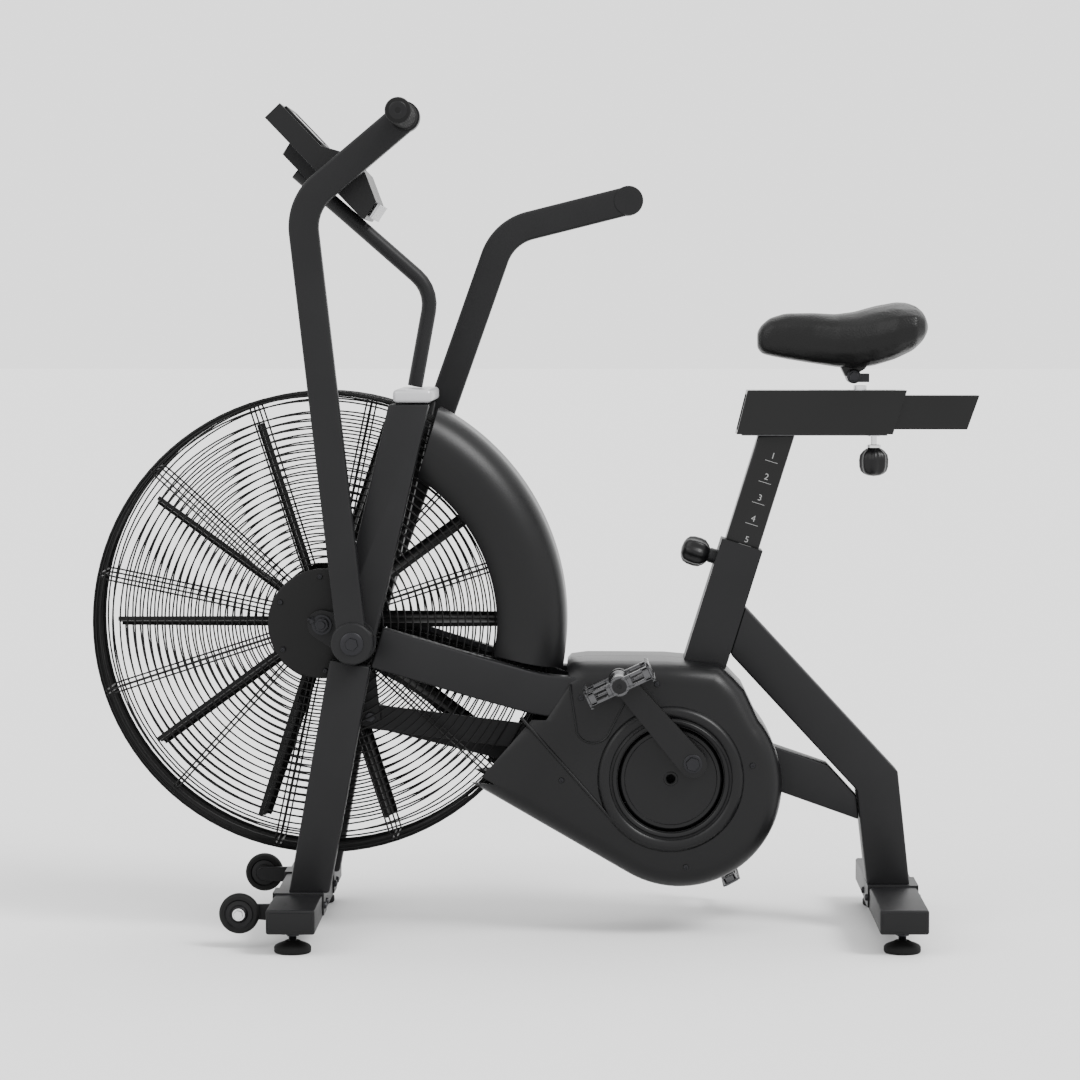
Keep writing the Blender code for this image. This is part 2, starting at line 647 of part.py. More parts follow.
def make_arms(steel, rubber):
    pivot = Vector(ARM_PIVOT)
    for name, side in SIDES.items():
        axis = (ARM_PIVOT[0], side * 0.1, ARM_PIVOT[1])
        lean = arm_lean(side)
        up = Vector((math.sin(lean), math.cos(lean)))
        over = Vector((math.sin(lean + ARM_BEND), math.cos(lean + ARM_BEND)))
        corner = pivot + up * ARM_STRAIGHT
        end = corner + over * ARM_UPPER
        path = rounded([pivot, corner, end], 0.075, 8)
        arm = prism(strip(path, ARM_WIDTH), side * LAYER_ARM[0], side * LAYER_ARM[1])
        arm = add(f"arm_{name}", arm, steel, pivot=axis)
        socket = side * (LAYER_ARM[0] - 0.001), side * (LAYER_ARM[1] + 0.0002)
        weld(arm, rod_y(tuple(end), ARM_WIDTH / 2 + 0.0005, *socket))
        weld(arm, rod_y(ARM_PIVOT, 0.0300, side * 0.1225, side * 0.1600))

        lever = bar_between(ARM_PIVOT, lever_end(side), 0.0220, 0.0150)
        lever = prism(lever, side * LAYER_LEVER[0], side * LAYER_LEVER[1])
        lever = add(f"arm_lever_{name}", lever, steel, pivot=axis)
        weld(lever, rod_y(ARM_PIVOT, 0.0120, side * (LAYER_LEVER[1] - 0.001), side * 0.1222))

        start, last = LAYER_GRIP
        profile = [(0.0195, 0), (0.0195, 0.006), (0.0165, 0.009), (0.0165, last - start - 0.014)]
        profile += [(0.0180, last - start - 0.010), (0.0180, last - start - 0.003), (0.0150, last - start)]
        add(f"grip_{name}", turned(profile, (end.x, side * start, end.y), (0, side, 0)), rubber, pivot=axis)


# Crank housing

def housing_outline(inset):
    """The housing from the side. The inner outline runs on past the front, which is open."""
    radius = HOUSING_RADIUS - inset
    back = arc(HOUSING_CENTRE, radius, math.radians(33), math.radians(-120), 16)
    top = [(0.1800, 0.4030 - inset), (0.2680 - inset / 2, 0.3960 - inset)]
    shoulder = [(0.2914 - inset, 0.3710 - inset / 2), (0.3203 - inset, 0.3450 - inset / 2)]
    tangent = back[-1]
    slope = math.tan(math.radians(30))
    if inset:
        front_x = -0.2
        front = [(front_x, tangent[1] + (tangent[0] - front_x) * slope), (front_x, 0.4030 - inset)]
        return front[1:] + top + shoulder + back + front[:1]
    front_x = -0.0938
    front = [(front_x, tangent[1] + (tangent[0] - front_x) * slope), (-0.0215, 0.3240), (-0.0010, 0.3235)]
    front += [(0.0340, 0.3800), (0.0520, 0.4000)]
    return front[-1:] + top + shoulder + back + front[:-1]


def shell_block(inset, side, depth, rounding):
    """The outline drawn out from the middle plane, its outer edge rounded."""
    bm = prism(housing_outline(inset), side * GAP if not inset else -side * 0.01, side * depth)
    edges = [edge for edge in bm.edges if all(abs(abs(v.co.y) - depth) < 1e-6 for v in edge.verts)]
    bmesh.ops.bevel(
        bm, geom=edges, offset=rounding, segments=3, profile=0.5, affect="EDGES", clamp_overlap=True
    )
    bmesh.ops.recalc_face_normals(bm, faces=bm.faces)
    return bm


def make_housing(plastic):
    depth, rounding = 0.1065, 0.022
    up = Vector((math.sin(SEAT_TILT), math.cos(SEAT_TILT)))
    top = Vector(SLEEVE_TOP)
    for name, side in SIDES.items():
        shell = add(f"crank_housing_{name}", shell_block(0, side, depth, rounding), plastic)
        weld(shell, ring_y(CRANK, 0.0785, 0.1020, side * (depth - 0.002), side * (depth + 0.0040), 40))
        cut(shell, shell_block(HOUSING_WALL, side, depth - 0.003, rounding - 0.002))
        cut(shell, rod_y(CRANK, 0.0765, side * 0.05, side * 0.12, 40))
        cut(shell, rod_y(FAN, CAGE_RADIUS + 0.003, -side * 0.02, side * 0.0745, 48))
        link_slot = side * (LAYER_LINK[0] - 0.0025), side * (LAYER_LINK[1] + 0.0025)
        cut(shell, block(-0.1000, -0.0320, *link_slot, 0.1800, 0.2600))
        cut(shell, prism(strip([top - up * 0.21, top], SLEEVE_WIDTH + 0.002), -0.0306, 0.0306))
        cut(shell, prism([(0.300, 0.220), (0.450, 0.170), (0.450, 0.245), (0.300, 0.297)], -0.0255, 0.0255))


# Saddle, post and rails

def knob_axis_origin():
    """A point in the middle of the post, level with the seat-height knob."""
    down = Vector((math.sin(SEAT_TILT), math.cos(SEAT_TILT))) * 0.030
    return (SLEEVE_TOP[0] - down.x, 0, SLEEVE_TOP[1] - down.y)


def make_seat(steel, black, chrome, leather):
    up = Vector((math.sin(SEAT_TILT), math.cos(SEAT_TILT)))
    post_top = Vector(SLEEVE_TOP) + up * ((0.7297 - SLEEVE_TOP[1]) / up.y)
    post_bottom = post_top - up * 0.2520
    pivot = (post_top.x, 0, post_top.y)
    rail = [(0.3092, 0.7938), (0.2932, 0.7297), (0.5206, 0.7297), (0.5410, 0.7938)]
    housing = add("seat_rail", prism(rail, -0.030, 0.030), steel, pivot=pivot)
    cut(housing, block(0.25, 0.60, -0.0228, 0.0228, 0.7357, 0.7873))
    cut(housing, block(0.4000, 0.5280, -0.0120, 0.0120, 0.77, 0.80))
    post = strip([post_bottom, post_top + up * 0.01], POST_WIDTH)
    post[1] = on_line(post_top - Vector((0, GAP)), Vector((1, 0)), post[0], post[1])
    post[2] = on_line(post_top - Vector((0, GAP)), Vector((1, 0)), post[3], post[2])
    add("seat_post", prism(post, -0.020, 0.020), black, pivot=pivot, bevel=0.003)

    slide_pivot = (0.4746, 0, 0.7615)
    slider = [(0.3750, 0.7863), (0.3750, 0.7367), (0.6295, 0.7367), (0.6471, 0.7863)]
    add("saddle_slider", prism(slider, -0.0220, 0.0220), steel, pivot=slide_pivot)
    stem = turned([(0.0097, 0), (0.0097, 0.0140)], (0.4746, 0, 0.7863 + GAP), (0, 0, 1))
    add("saddle_stem", stem, chrome, pivot=slide_pivot)
    clamp = rod_y((0.4642, 0.8140), 0.0105, -0.021, 0.021)
    clamp = add("saddle_clamp", clamp, black, pivot=slide_pivot)
    weld(clamp, block(0.4600, 0.4870, -0.016, 0.016, 0.8055, 0.8180))
    add("saddle", saddle(), leather, pivot=slide_pivot)


def saddle():
    """Sections across the saddle, from nose to tail: each has a top, a bottom and a half width."""
    stations = [
        (0.3230, 0.8800, 0.8560, 0.018), (0.3290, 0.8895, 0.8480, 0.027), (0.3420, 0.8995, 0.8450, 0.032),
        (0.3680, 0.9045, 0.8400, 0.036), (0.4050, 0.9050, 0.8340, 0.042), (0.4380, 0.9032, 0.8290, 0.054),
        (0.4650, 0.9066, 0.8265, 0.072), (0.4950, 0.9150, 0.8310, 0.090), (0.5250, 0.9205, 0.8400, 0.100),
        (0.5500, 0.9195, 0.8520, 0.098), (0.5640, 0.9080, 0.8660, 0.084), (0.5698, 0.8930, 0.8780, 0.060),
    ]
    points = 16
    bm = bmesh.new()
    rings = []
    for x, top, bottom, half in stations:
        ring = []
        for i in range(points):
            turn = 2 * math.pi * i / points
            across, rise = math.cos(turn), math.sin(turn)
            y = half * math.copysign(abs(across) ** 0.75, across)
            middle = (top + bottom) / 2
            z = middle + (top - bottom) / 2 * math.copysign(abs(rise) ** 0.75, rise)
            ring.append(bm.verts.new((x, y, z)))
        rings.append(ring)
    for first, second in zip(rings, rings[1:]):
        for i in range(points):
            j = (i + 1) % points
            bm.faces.new((first[i], first[j], second[j], second[i]))
    bm.faces.new(rings[0])
    bm.faces.new(list(reversed(rings[-1])))
    bmesh.ops.recalc_face_normals(bm, faces=bm.faces)
    return bm


def make_knobs(black):
    """Two lobed knobs: one pulls the seat-height pin, the other clamps the saddle slider."""
    head = [(0.0060, 0.0), (0.0120, 0.004), (0.0200, 0.012), (0.0200, 0.030)]
    head += [(0.0160, 0.038), (0.0080, 0.041), (0, 0.0415)]
    pin_start, head_start = 0.0262, 0.0460
    profile = [(0, pin_start), (0.0040, pin_start), (0.0040, head_start)]
    profile += [(radius, along + head_start) for radius, along in head]
    front = (-math.cos(SEAT_TILT), 0, math.sin(SEAT_TILT))
    origin = knob_axis_origin()
    add("height_knob", turned(profile, origin, front, 28, lobes=7, depth=0.06), black, pivot=origin)

    screw_top = 0.7290
    profile = [(0, 0), (0.0045, 0), (0.0045, 0.020)] + [(radius, along + 0.020) for radius, along in head]
    origin = (0.4952, 0, screw_top)
    add("slide_knob", turned(profile, origin, (0, 0, -1), 28, lobes=7, depth=0.06), black, pivot=origin)


# Transport wheels

def make_wheels(rubber):
    profile = [(0.0060, 0), (0.0120, 0), (0.0140, 0.003), (0.0250, 0.003), (0.0290, 0.006), (0.0290, 0.018)]
    profile += [(0.0250, 0.021), (0.0140, 0.021), (0.0120, 0.024), (0.0060, 0.024)]
    for name, side in SIDES.items():
        start = (WHEEL[0], side * 0.1785, WHEEL[1])
        wheel = turned(profile, start, (0, side, 0), 28, loop=True)
        add(f"transport_wheel_{name}", wheel, rubber, pivot=start)


# Console

def make_console(steel, plastic, screen, black):
    behind = [(0.170, -0.0450), (0.080, -0.0535)]
    turn_back, post_end = tilted(CONSOLE_CORNER, CONSOLE_DOWN, CONSOLE_OUT, behind)
    path = rounded([(-0.1770, 0.7990), (-0.1512, 0.9401), turn_back, post_end], 0.055, 5)
    post = add("console_post", round_tube(path, 0.0110, 16), steel)

    def side_view(points):
        return tilted(CONSOLE_CORNER, CONSOLE_DOWN, CONSOLE_OUT, points)

    bracket = side_view([(0.045, -0.0303), (0.110, -0.0303), (0.105, -0.0500), (0.050, -0.0500)])
    weld(post, prism(bracket, -0.030, 0.030))

    shape = [(0, 0), (0.085, 0), (0.118, 0.0194), (0.1566, 0.0194), (0.1976, 0.0018), (0.2040, -0.0270)]
    shape += [(0.2000, -0.0300), (0, -0.0300)]
    housing = add("console_housing", prism(side_view(shape), -0.088, 0.088), plastic)
    button_radius, button_s, flat = 0.0090, 0.1370, 0.0194
    out = (CONSOLE_OUT[0], 0, CONSOLE_OUT[1])
    places = {"start": 0, "down": -0.040, "up": 0.040}
    centre = side_view([(button_s, flat)])[0]
    for name, y in places.items():
        place, well_radius = (centre[0], y, centre[1]), button_radius + 0.0004
        well = turned([(well_radius, -0.0050), (well_radius, 0.01)], place, out)
        cut(housing, well)
        cap = [(0, -0.0025), (button_radius, -0.0025), (button_radius, 0.0012)]
        cap += [(button_radius - 0.001, 0.0020), (0, 0.0020)]
        add(f"button_{name}", turned(cap, place, out), black, pivot=place)
    glass = side_view([(0.012, GAP), (0.078, GAP), (0.078, 0.0025), (0.012, 0.0025)])
    add("console_screen", prism(glass, -0.070, 0.070), screen)


def round_tube(path, radius, sides):
    """A round tube along a path in X and Z, in the middle plane."""
    bm = bmesh.new()
    path = [Vector((x, 0, z)) for x, z in path]
    rings = []
    for i, point in enumerate(path):
        along = (path[min(i + 1, len(path) - 1)] - path[max(i - 1, 0)]).normalized()
        across = Vector((0, 1, 0))
        normal = along.cross(across)
        turns = [2 * math.pi * k / sides for k in range(sides)]
        spokes = [(across * math.cos(turn) + normal * math.sin(turn)) * radius for turn in turns]
        rings.append([bm.verts.new(point + spoke) for spoke in spokes])
    for first, second in zip(rings, rings[1:]):
        for i in range(sides):
            j = (i + 1) % sides
            bm.faces.new((first[i], first[j], second[j], second[i]))
    bm.faces.new(rings[0])
    bm.faces.new(list(reversed(rings[-1])))
    bmesh.ops.recalc_face_normals(bm, faces=bm.faces)
    return bm


clear_scene()
FINISH = {
    "frame": material("frame_paint", (0.035, 0.035, 0.037), 0.45, 0.3),
    "plastic": material("black_plastic", (0.020, 0.020, 0.021), 0.40, 0.0),
    "rubber": material("black_rubber", (0.015, 0.015, 0.015), 0.80, 0.0),
    "wire": material("cage_wire", (0.012, 0.012, 0.012), 0.40, 0.4),
    "steel": material("dark_steel", (0.060, 0.060, 0.062), 0.40, 0.9),
    "bracket": material("silver_paint", (0.450, 0.450, 0.450), 0.35, 0.6),
    "alloy": material("pedal_alloy", (0.350, 0.350, 0.350), 0.30, 0.9),
    "chrome": material("chrome", (0.700, 0.700, 0.700), 0.15, 1.0),
    "leather": material("saddle_leather", (0.015, 0.015, 0.015), 0.45, 0.0),
    "screen": material("screen_glass", (0.010, 0.012, 0.014), 0.10, 0.0),
}
make_feet(FINISH["frame"], FINISH["rubber"])
make_side_frame(FINISH["frame"])
make_rear_frame(FINISH["frame"])
make_fan(FINISH["steel"], FINISH["plastic"], FINISH["wire"])
make_crank(FINISH["steel"], FINISH["plastic"], FINISH["alloy"])
make_links(FINISH["frame"])
make_chain(FINISH["steel"])
make_arms(FINISH["frame"], FINISH["rubber"])
make_housing(FINISH["plastic"])
make_seat(FINISH["frame"], FINISH["frame"], FINISH["chrome"], FINISH["leather"])
make_knobs(FINISH["plastic"])
make_wheels(FINISH["rubber"])
make_console(FINISH["frame"], FINISH["plastic"], FINISH["screen"], FINISH["plastic"])
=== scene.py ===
import json
import math

import bmesh
import bpy
from mathutils import Matrix, Vector


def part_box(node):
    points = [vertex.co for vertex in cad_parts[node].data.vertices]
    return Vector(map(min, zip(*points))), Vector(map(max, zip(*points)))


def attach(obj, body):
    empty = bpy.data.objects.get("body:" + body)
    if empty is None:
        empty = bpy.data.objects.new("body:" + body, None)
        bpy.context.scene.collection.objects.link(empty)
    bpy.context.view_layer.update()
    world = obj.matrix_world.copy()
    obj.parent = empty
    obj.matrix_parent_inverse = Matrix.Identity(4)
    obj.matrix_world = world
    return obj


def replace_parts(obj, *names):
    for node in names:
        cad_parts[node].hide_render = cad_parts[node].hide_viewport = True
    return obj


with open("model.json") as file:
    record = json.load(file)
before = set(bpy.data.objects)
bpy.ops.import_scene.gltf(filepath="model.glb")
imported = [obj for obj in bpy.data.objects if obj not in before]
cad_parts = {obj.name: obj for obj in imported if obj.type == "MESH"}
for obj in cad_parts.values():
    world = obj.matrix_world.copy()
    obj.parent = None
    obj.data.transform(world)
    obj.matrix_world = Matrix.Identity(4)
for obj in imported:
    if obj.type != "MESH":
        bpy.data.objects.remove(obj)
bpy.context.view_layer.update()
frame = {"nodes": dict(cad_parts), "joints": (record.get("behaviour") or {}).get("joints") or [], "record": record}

SIDES = {"left": -1, "right": 1}
JOINTS = {joint["name"]: joint for joint in frame["joints"]}
UP = Vector((0, 0, 1))
SIDEWAYS = Vector((0, 1, 0))
BOTH = [(name, side, SIDEWAYS * side) for name, side in SIDES.items()]


def pivot(joint):
    """A point on a hinge's axis."""
    return Vector(JOINTS[joint]["pos_m"])


def direction(joint):
    return Vector(JOINTS[joint]["axis"]).normalized()


def far_face(node):
    """How far a node reaches out from the middle plane."""
    low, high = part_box(node)
    return max(abs(low.y), abs(high.y))


FAN = pivot("fan_turn")
CRANK = pivot("crank_turn")
ARM_PIVOT = Vector((pivot("left_arm_swing").x, 0, pivot("left_arm_swing").z))
# The cage's rim is open where the crank housing and the links pass
RIM_RUN = (math.radians(-8), math.radians(308))
PLATE_RADIUS = 0.080


# Finishes

def fill(node, values):
    """Sets a shader node's inputs."""
    for key, value in values.items():
        node.inputs[key].default_value = value


def finish(name, colour, roughness, metallic=0.0, grain=900, bump=0.05, mottle=0.25, shine=0.3, coat=0.0):
    """A surface with fine grain, and with colour and gloss that drift a little from place to place."""
    patch_scale, grain_height, coat_roughness = 9, 0.0006, 0.25
    made = bpy.data.materials.new(name)
    made.use_nodes = True
    nodes, links = made.node_tree.nodes, made.node_tree.links
    shader = nodes["Principled BSDF"]
    place = nodes.new("ShaderNodeTexCoord")

    def noise(scale, detail):
        node = nodes.new("ShaderNodeTexNoise")
        fill(node, {"Scale": scale, "Detail": detail})
        links.new(place.outputs["Object"], node.inputs["Vector"])
        return node.outputs["Fac"]

    def halved(value):
        """Half of a value, plus whatever is linked to the node's last input."""
        node = nodes.new("ShaderNodeMath")
        node.operation = "MULTIPLY_ADD"
        fill(node, {1: 0.5, 2: 0})
        links.new(value, node.inputs[0])
        return node

    patches = noise(patch_scale, 6)
    tint = nodes.new("ShaderNodeMix")
    tint.data_type = "RGBA"
    dark = (*[channel * (1 - mottle) for channel in colour], 1)
    fill(tint, {"A": dark, "B": (*[min(1, channel * (1 + mottle)) for channel in colour], 1)})
    links.new(patches, tint.inputs["Factor"])
    links.new(tint.outputs["Result"], shader.inputs["Base Color"])

    fine = noise(grain, 3)
    both = halved(fine)
    links.new(halved(patches).outputs["Value"], both.inputs[2])
    spread = nodes.new("ShaderNodeMapRange")
    fill(spread, {"To Min": max(0.04, roughness - 0.08), "To Max": min(1, roughness + 0.10)})
    links.new(both.outputs["Value"], spread.inputs["Value"])
    links.new(spread.outputs["Result"], shader.inputs["Roughness"])

    relief = nodes.new("ShaderNodeBump")
    fill(relief, {"Strength": bump, "Distance": grain_height})
    links.new(fine, relief.inputs["Height"])
    links.new(relief.outputs["Normal"], shader.inputs["Normal"])
    fill(shader, {"Metallic": metallic, "Specular IOR Level": shine})
    fill(shader, {"Coat Weight": coat, "Coat Roughness": coat_roughness})
    return made


def leather(name, colour):
    """Vinyl with a pebbled grain: small cells over a finer unevenness."""
    cells_per_metre, pebble_strength, pebble_height = 420, 0.35, 0.0008
    made = finish(name, colour, 0.36, grain=500, bump=0.1, shine=0.18)
    nodes, links = made.node_tree.nodes, made.node_tree.links
    cells = nodes.new("ShaderNodeTexVoronoi")
    fill(cells, {"Scale": cells_per_metre})
    links.new(nodes["Texture Coordinate"].outputs["Object"], cells.inputs["Vector"])
    pebbles = nodes.new("ShaderNodeBump")
    fill(pebbles, {"Strength": pebble_strength, "Distance": pebble_height})
    links.new(cells.outputs["Distance"], pebbles.inputs["Height"])
    links.new(nodes["Bump"].outputs["Normal"], pebbles.inputs["Normal"])
    links.new(pebbles.outputs["Normal"], nodes["Principled BSDF"].inputs["Normal"])
    return made


def grey(level, blue=0.0):
    return (level, level, level + blue)


FINISH = {
    name: finish(f"{name}_look", colour, roughness, metallic, grain, bump, mottle, shine)
    for name, colour, roughness, metallic, grain, bump, mottle, shine in (
        ("frame_paint", grey(0.0080, 0.0005), 0.42, 0.0, 1400, 0.2, 0.25, 0.15),
        ("black_plastic", grey(0.0035, 0.0003), 0.33, 0.0, 1100, 0.18, 0.25, 0.2),
        ("black_rubber", grey(0.006), 0.66, 0.0, 700, 0.3, 0.25, 0.12),
        ("cage_wire", grey(0.004), 0.36, 0.0, 600, 0.05, 0.25, 0.15),
        ("dark_steel", grey(0.020, 0.002), 0.34, 0.8, 1200, 0.15, 0.25, 0.3),
        # silver_paint is a pale silver grey: partly the bracket's own silver paint, and partly a painted highlight
        # standing in for light on its top-lit surface
        ("silver_paint", grey(0.40, 0.01), 0.36, 0.4, 1000, 0.1, 0.25, 0.3),
        ("pedal_alloy", grey(0.085, 0.003), 0.26, 0.9, 900, 0.15, 0.25, 0.3),
        ("chrome", grey(0.62, 0.01), 0.16, 1.0, 800, 0.03, 0.08, 0.3),
    )
}
FINISH["saddle_leather"] = leather("saddle_leather_look", grey(0.0035))
glass = (0.006, 0.007, 0.009)
FINISH["screen_glass"] = finish("screen_glass_look", glass, 0.12, grain=300, bump=0.01, coat=0.5)
INK = finish("number_ink_look", grey(0.20), 0.5, grain=1500)
GLOSS = finish("post_gloss_look", grey(0.003), 0.22, grain=1500, bump=0.05, shine=0.22)


# Shapes: each adds a closed form to the bmesh that it is given

def stitch(bm, rings, loop=False):
    """Skins each ring of points to the next. The ends are closed, or joined to each other in a loop."""
    count = max(len(ring) for ring in rings)
    pairs = list(zip(rings, rings[1:])) + ([(rings[-1], rings[0])] if loop else [])
    for first, second in pairs:
        for i in range(count):
            j = (i + 1) % count
            corners = [first[i % len(first)], first[j % len(first)]]
            corners += [second[j % len(second)], second[i % len(second)]]
            bm.faces.new(list(dict.fromkeys(corners)))
    for ring in (rings[0], rings[-1]):
        if len(ring) > 1 and not loop:
            bm.faces.new(ring)


def lathe(bm, profile, origin, axis, sides=48, loop=False, lobes=0, depth=0.0):
    """Turns (radius, distance along the axis) points about the axis. Lobes flute the radius, except
    at a point with a third item."""
    axis = Vector(axis).normalized()
    across = axis.orthogonal().normalized()
    third = axis.cross(across)
    rings = []
    for radius, along, *plain in profile:
        centre = Vector(origin) + axis * along
        if radius == 0:
            rings.append([bm.verts.new(centre)])
            continue
        ring = []
        for i in range(sides):
            turn = 2 * math.pi * i / sides
            reach = radius * (1 + (0 if plain else depth * math.cos(lobes * turn)))
            ring.append(bm.verts.new(centre + (across * math.cos(turn) + third * math.sin(turn)) * reach))
        rings.append(ring)
    stitch(bm, rings, loop)


def collar(bm, inner, outer, height, origin, axis, sides=48):
    """A flat ring with a hole."""
    profile = [(inner, 0), (outer, 0), (outer, height), (inner, height)]
    lathe(bm, profile, origin, axis, sides, loop=True)


def cap(bm, radius, height, chamfer, origin, axis, sides=32):
    """A disc with a chamfered edge."""
    profile = [(radius, 0), (radius, height - chamfer), (radius - chamfer * 1.5, height), (0, height)]
    lathe(bm, profile, origin, axis, sides)


def bevel(bm, edges, width, segments):
    bmesh.ops.bevel(
        bm, geom=edges, offset=width, segments=segments, profile=0.5, affect="EDGES", clamp_overlap=True
    )


def prism(bm, outline, y0, y1, rounding=0.0, segments=3):
    """An outline of (X, Z) points, drawn out along Y, with its edges rounded."""
    near = [bm.verts.new((x, y0, z)) for x, z in outline]
    far = [bm.verts.new((x, y1, z)) for x, z in outline]
    faces = [bm.faces.new(near), bm.faces.new(far[::-1])]
    for i, corner in enumerate(near):
        j = (i + 1) % len(near)
        bm.faces.new((corner, far[i], far[j], near[j]))
    if rounding:
        bevel(bm, list({edge for face in faces for edge in face.edges}), rounding, segments)


def slab(bm, centre, axes, sizes, rounding=0.0):
    """A block about a centre, its sides along three axes."""
    made = bmesh.ops.create_cube(bm, size=1)["verts"]
    turn = Matrix([Vector(axis).normalized() * size for axis, size in zip(axes, sizes)]).transposed()
    for vertex in made:
        vertex.co = Vector(centre) + turn @ vertex.co
    if rounding:
        bevel(bm, list({edge for vertex in made for edge in vertex.link_edges}), rounding, 2)


def wire(bm, path, radius, normal, closed=False, sides=6):
    """Round wire along a flat path. The normal is the one of the plane that the path lies in."""
    normal = Vector(normal).normalized()
    count, rings = len(path), []
    for i, point in enumerate(path):
        ahead = path[(i + 1) % count] if closed or i < count - 1 else point
        behind = path[i - 1] if closed or i else point
        across = (Vector(ahead) - Vector(behind)).normalized().cross(normal)
        ring = []
        for k in range(sides):
            turn = 2 * math.pi * k / sides
            spoke = (across * math.cos(turn) + normal * math.sin(turn)) * radius
            ring.append(bm.verts.new(Vector(point) + spoke))
        rings.append(ring)
    stitch(bm, rings, closed)


def polar(centre, radius, turn):
    """The (X, Z) point at a radius and an angle about a centre."""
    return centre.x + radius * math.cos(turn), centre.z + radius * math.sin(turn)


def heading(turn):
    """The direction at an angle in the plane of X and Z."""
    return Vector((math.cos(turn), 0, math.sin(turn)))


def circle(centre, radius, y, steps=96, start=0.0, end=2 * math.pi):
    """Points round a circle, or along an arc from its start to its end."""
    gaps = steps if end - start > 6.28 else steps - 1
    points = [polar(centre, radius, start + (end - start) * i / gaps) for i in range(steps)]
    return [Vector((x, y, z)) for x, z in points]


def hexagon(bm, origin, axis, across_flats, height):
    radius = across_flats / math.sqrt(3)
    rim = radius * 0.93
    lathe(bm, [(radius, 0), (radius, height * 0.8), (rim, height), (0, height)], origin, axis, sides=6)


def socket_screw(bm, origin, axis, radius=0.0045):
    """A domed cap screw with a hollow in its head."""
    shape = [(1, 0), (1, 0.35), (0.8, 0.7), (0.45, 0.75), (0.4, 0.3), (0, 0.3)]
    lathe(bm, [(radius * out, radius * along) for out, along in shape], origin, axis, sides=20)


def baked(name, bm):
    """The forms in bm as a mesh."""
    mesh = bpy.data.meshes.new(name)
    bm.to_mesh(mesh)
    bm.free()
    return mesh


def placed(name, data):
    """A new object in the scene."""
    obj = bpy.data.objects.new(name, data)
    bpy.context.scene.collection.objects.link(obj)
    return obj


def piece(name, bm, slot, body="root", angle=35, look=None):
    """The forms in bm as one piece that rides on a body."""
    bmesh.ops.recalc_face_normals(bm, faces=bm.faces)
    mesh = baked(name, bm)
    mesh.materials.append(look or FINISH[slot])
    mesh.shade_smooth()
    mesh.set_sharp_from_angle(angle=math.radians(angle))
    obj = placed(name, mesh)
    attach(obj, body)
    return obj


def modify(obj, kind, **settings):
    """Adds a modifier with the given settings."""
    made = obj.modifiers.new(kind.title(), kind)
    for key, value in settings.items():
        setattr(made, key, value)
    return made


def evaluated(obj):
    return bpy.data.meshes.new_from_object(obj.evaluated_get(bpy.context.evaluated_depsgraph_get()))


def apply_modifiers(obj):
    made = evaluated(obj)
    obj.modifiers.clear()
    obj.data = made


def middle(node):
    low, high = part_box(node)
    return (low + high) / 2


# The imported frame's own nodes

def dress_frame():
    """Every node takes the finish of its material slot, fine rounded edges and smooth shading."""
    slots = {row["node"]: row["material_slot"] for row in frame["record"]["subparts"]}
    glossy = ("seat_post", "seat_rail", "saddle_slider")
    for name, node in frame["nodes"].items():
        node.data.materials.clear()
        node.data.materials.append(GLOSS if name in glossy else FINISH[slots[name]])
        modify(node, "WELD", merge_threshold=0.00002)
        if node.data.has_custom_normals:
            with bpy.context.temp_override(object=node, active_object=node, selected_objects=[node]):
                bpy.ops.mesh.customdata_custom_splitnormals_clear()
        node.data.shade_smooth()
        corner = math.radians(38)
        edge = modify(node, "BEVEL", width=0.0007, segments=2, limit_method="ANGLE", angle_limit=corner)
        edge.harden_normals = True


# Cage, cover and fan

def quarter(steps):
    """(Sine, cosine) pairs round a quarter turn."""
    turns = [math.pi / 2 * i / steps for i in range(steps + 1)]
    return [(math.sin(turn), math.cos(turn)) for turn in turns]


def ring_track(radius, face, corner, thin):
    """(Radius, depth) of each wire ring: across the face, round the corner and down the rim."""
    pitch, first_gap = 0.0109, 0.008
    track, reach = [], PLATE_RADIUS + first_gap
    while reach < radius - corner - 0.002:
        track.append((reach, face))
        reach += pitch
    for sine, cosine in quarter(4)[1:]:
        track.append((radius - corner + corner * sine - thin, face - corner + corner * cosine))
    depth = face - corner - pitch
    while depth > 0.002:
        track.append((radius - thin, depth))
        depth -= pitch
    return track


def cage_half(name, side):
    """Rings of wire over a flat face, a rounded corner and half of the rim, tied by pairs of radial wires."""
    low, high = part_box(f"cage_grille_{name}")
    radius = (high.x - low.x) / 2
    thin, spoke_wire, stout, corner = 0.0013, 0.0014, 0.0019, 0.020
    face = far_face(f"cage_grille_{name}") - thin
    bm = bmesh.new()
    for reach, depth in ring_track(radius, face, corner, thin):
        if depth > face - corner - 0.001:
            wire(bm, circle(FAN, reach, side * depth), thin, SIDEWAYS, closed=True, sides=5)
        else:
            wire(bm, circle(FAN, reach, side * depth, 84, *RIM_RUN), thin, SIDEWAYS, sides=5)
    bare = radius - 2 * thin - stout
    wire(bm, circle(FAN, bare, side * (face - corner)), stout, SIDEWAYS, closed=True)
    spokes, first_spoke, half_gap = 12, math.radians(18), 0.0032
    inside = 2 * thin + 0.0012
    tight = corner - inside
    for i in range(spokes):
        turn = first_spoke + 2 * math.pi * i / spokes
        radial = heading(turn)
        across = heading(turn + math.pi / 2)
        points = [(PLATE_RADIUS - 0.010, face - inside)]
        points += [(radius - corner + tight * a, face - corner + tight * b) for a, b in quarter(6)]
        if turn % (2 * math.pi) < RIM_RUN[1]:
            points.append((radius - inside, 0.001))
        for shift in (-half_gap, half_gap):
            path = [FAN + radial * r + across * shift + SIDEWAYS * side * depth for r, depth in points]
            wire(bm, path, spoke_wire, across)
    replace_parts(piece(f"cage_wires_{name}", bm, "cage_wire"), f"cage_grille_{name}")
    cage_plate(name, side, face + thin)


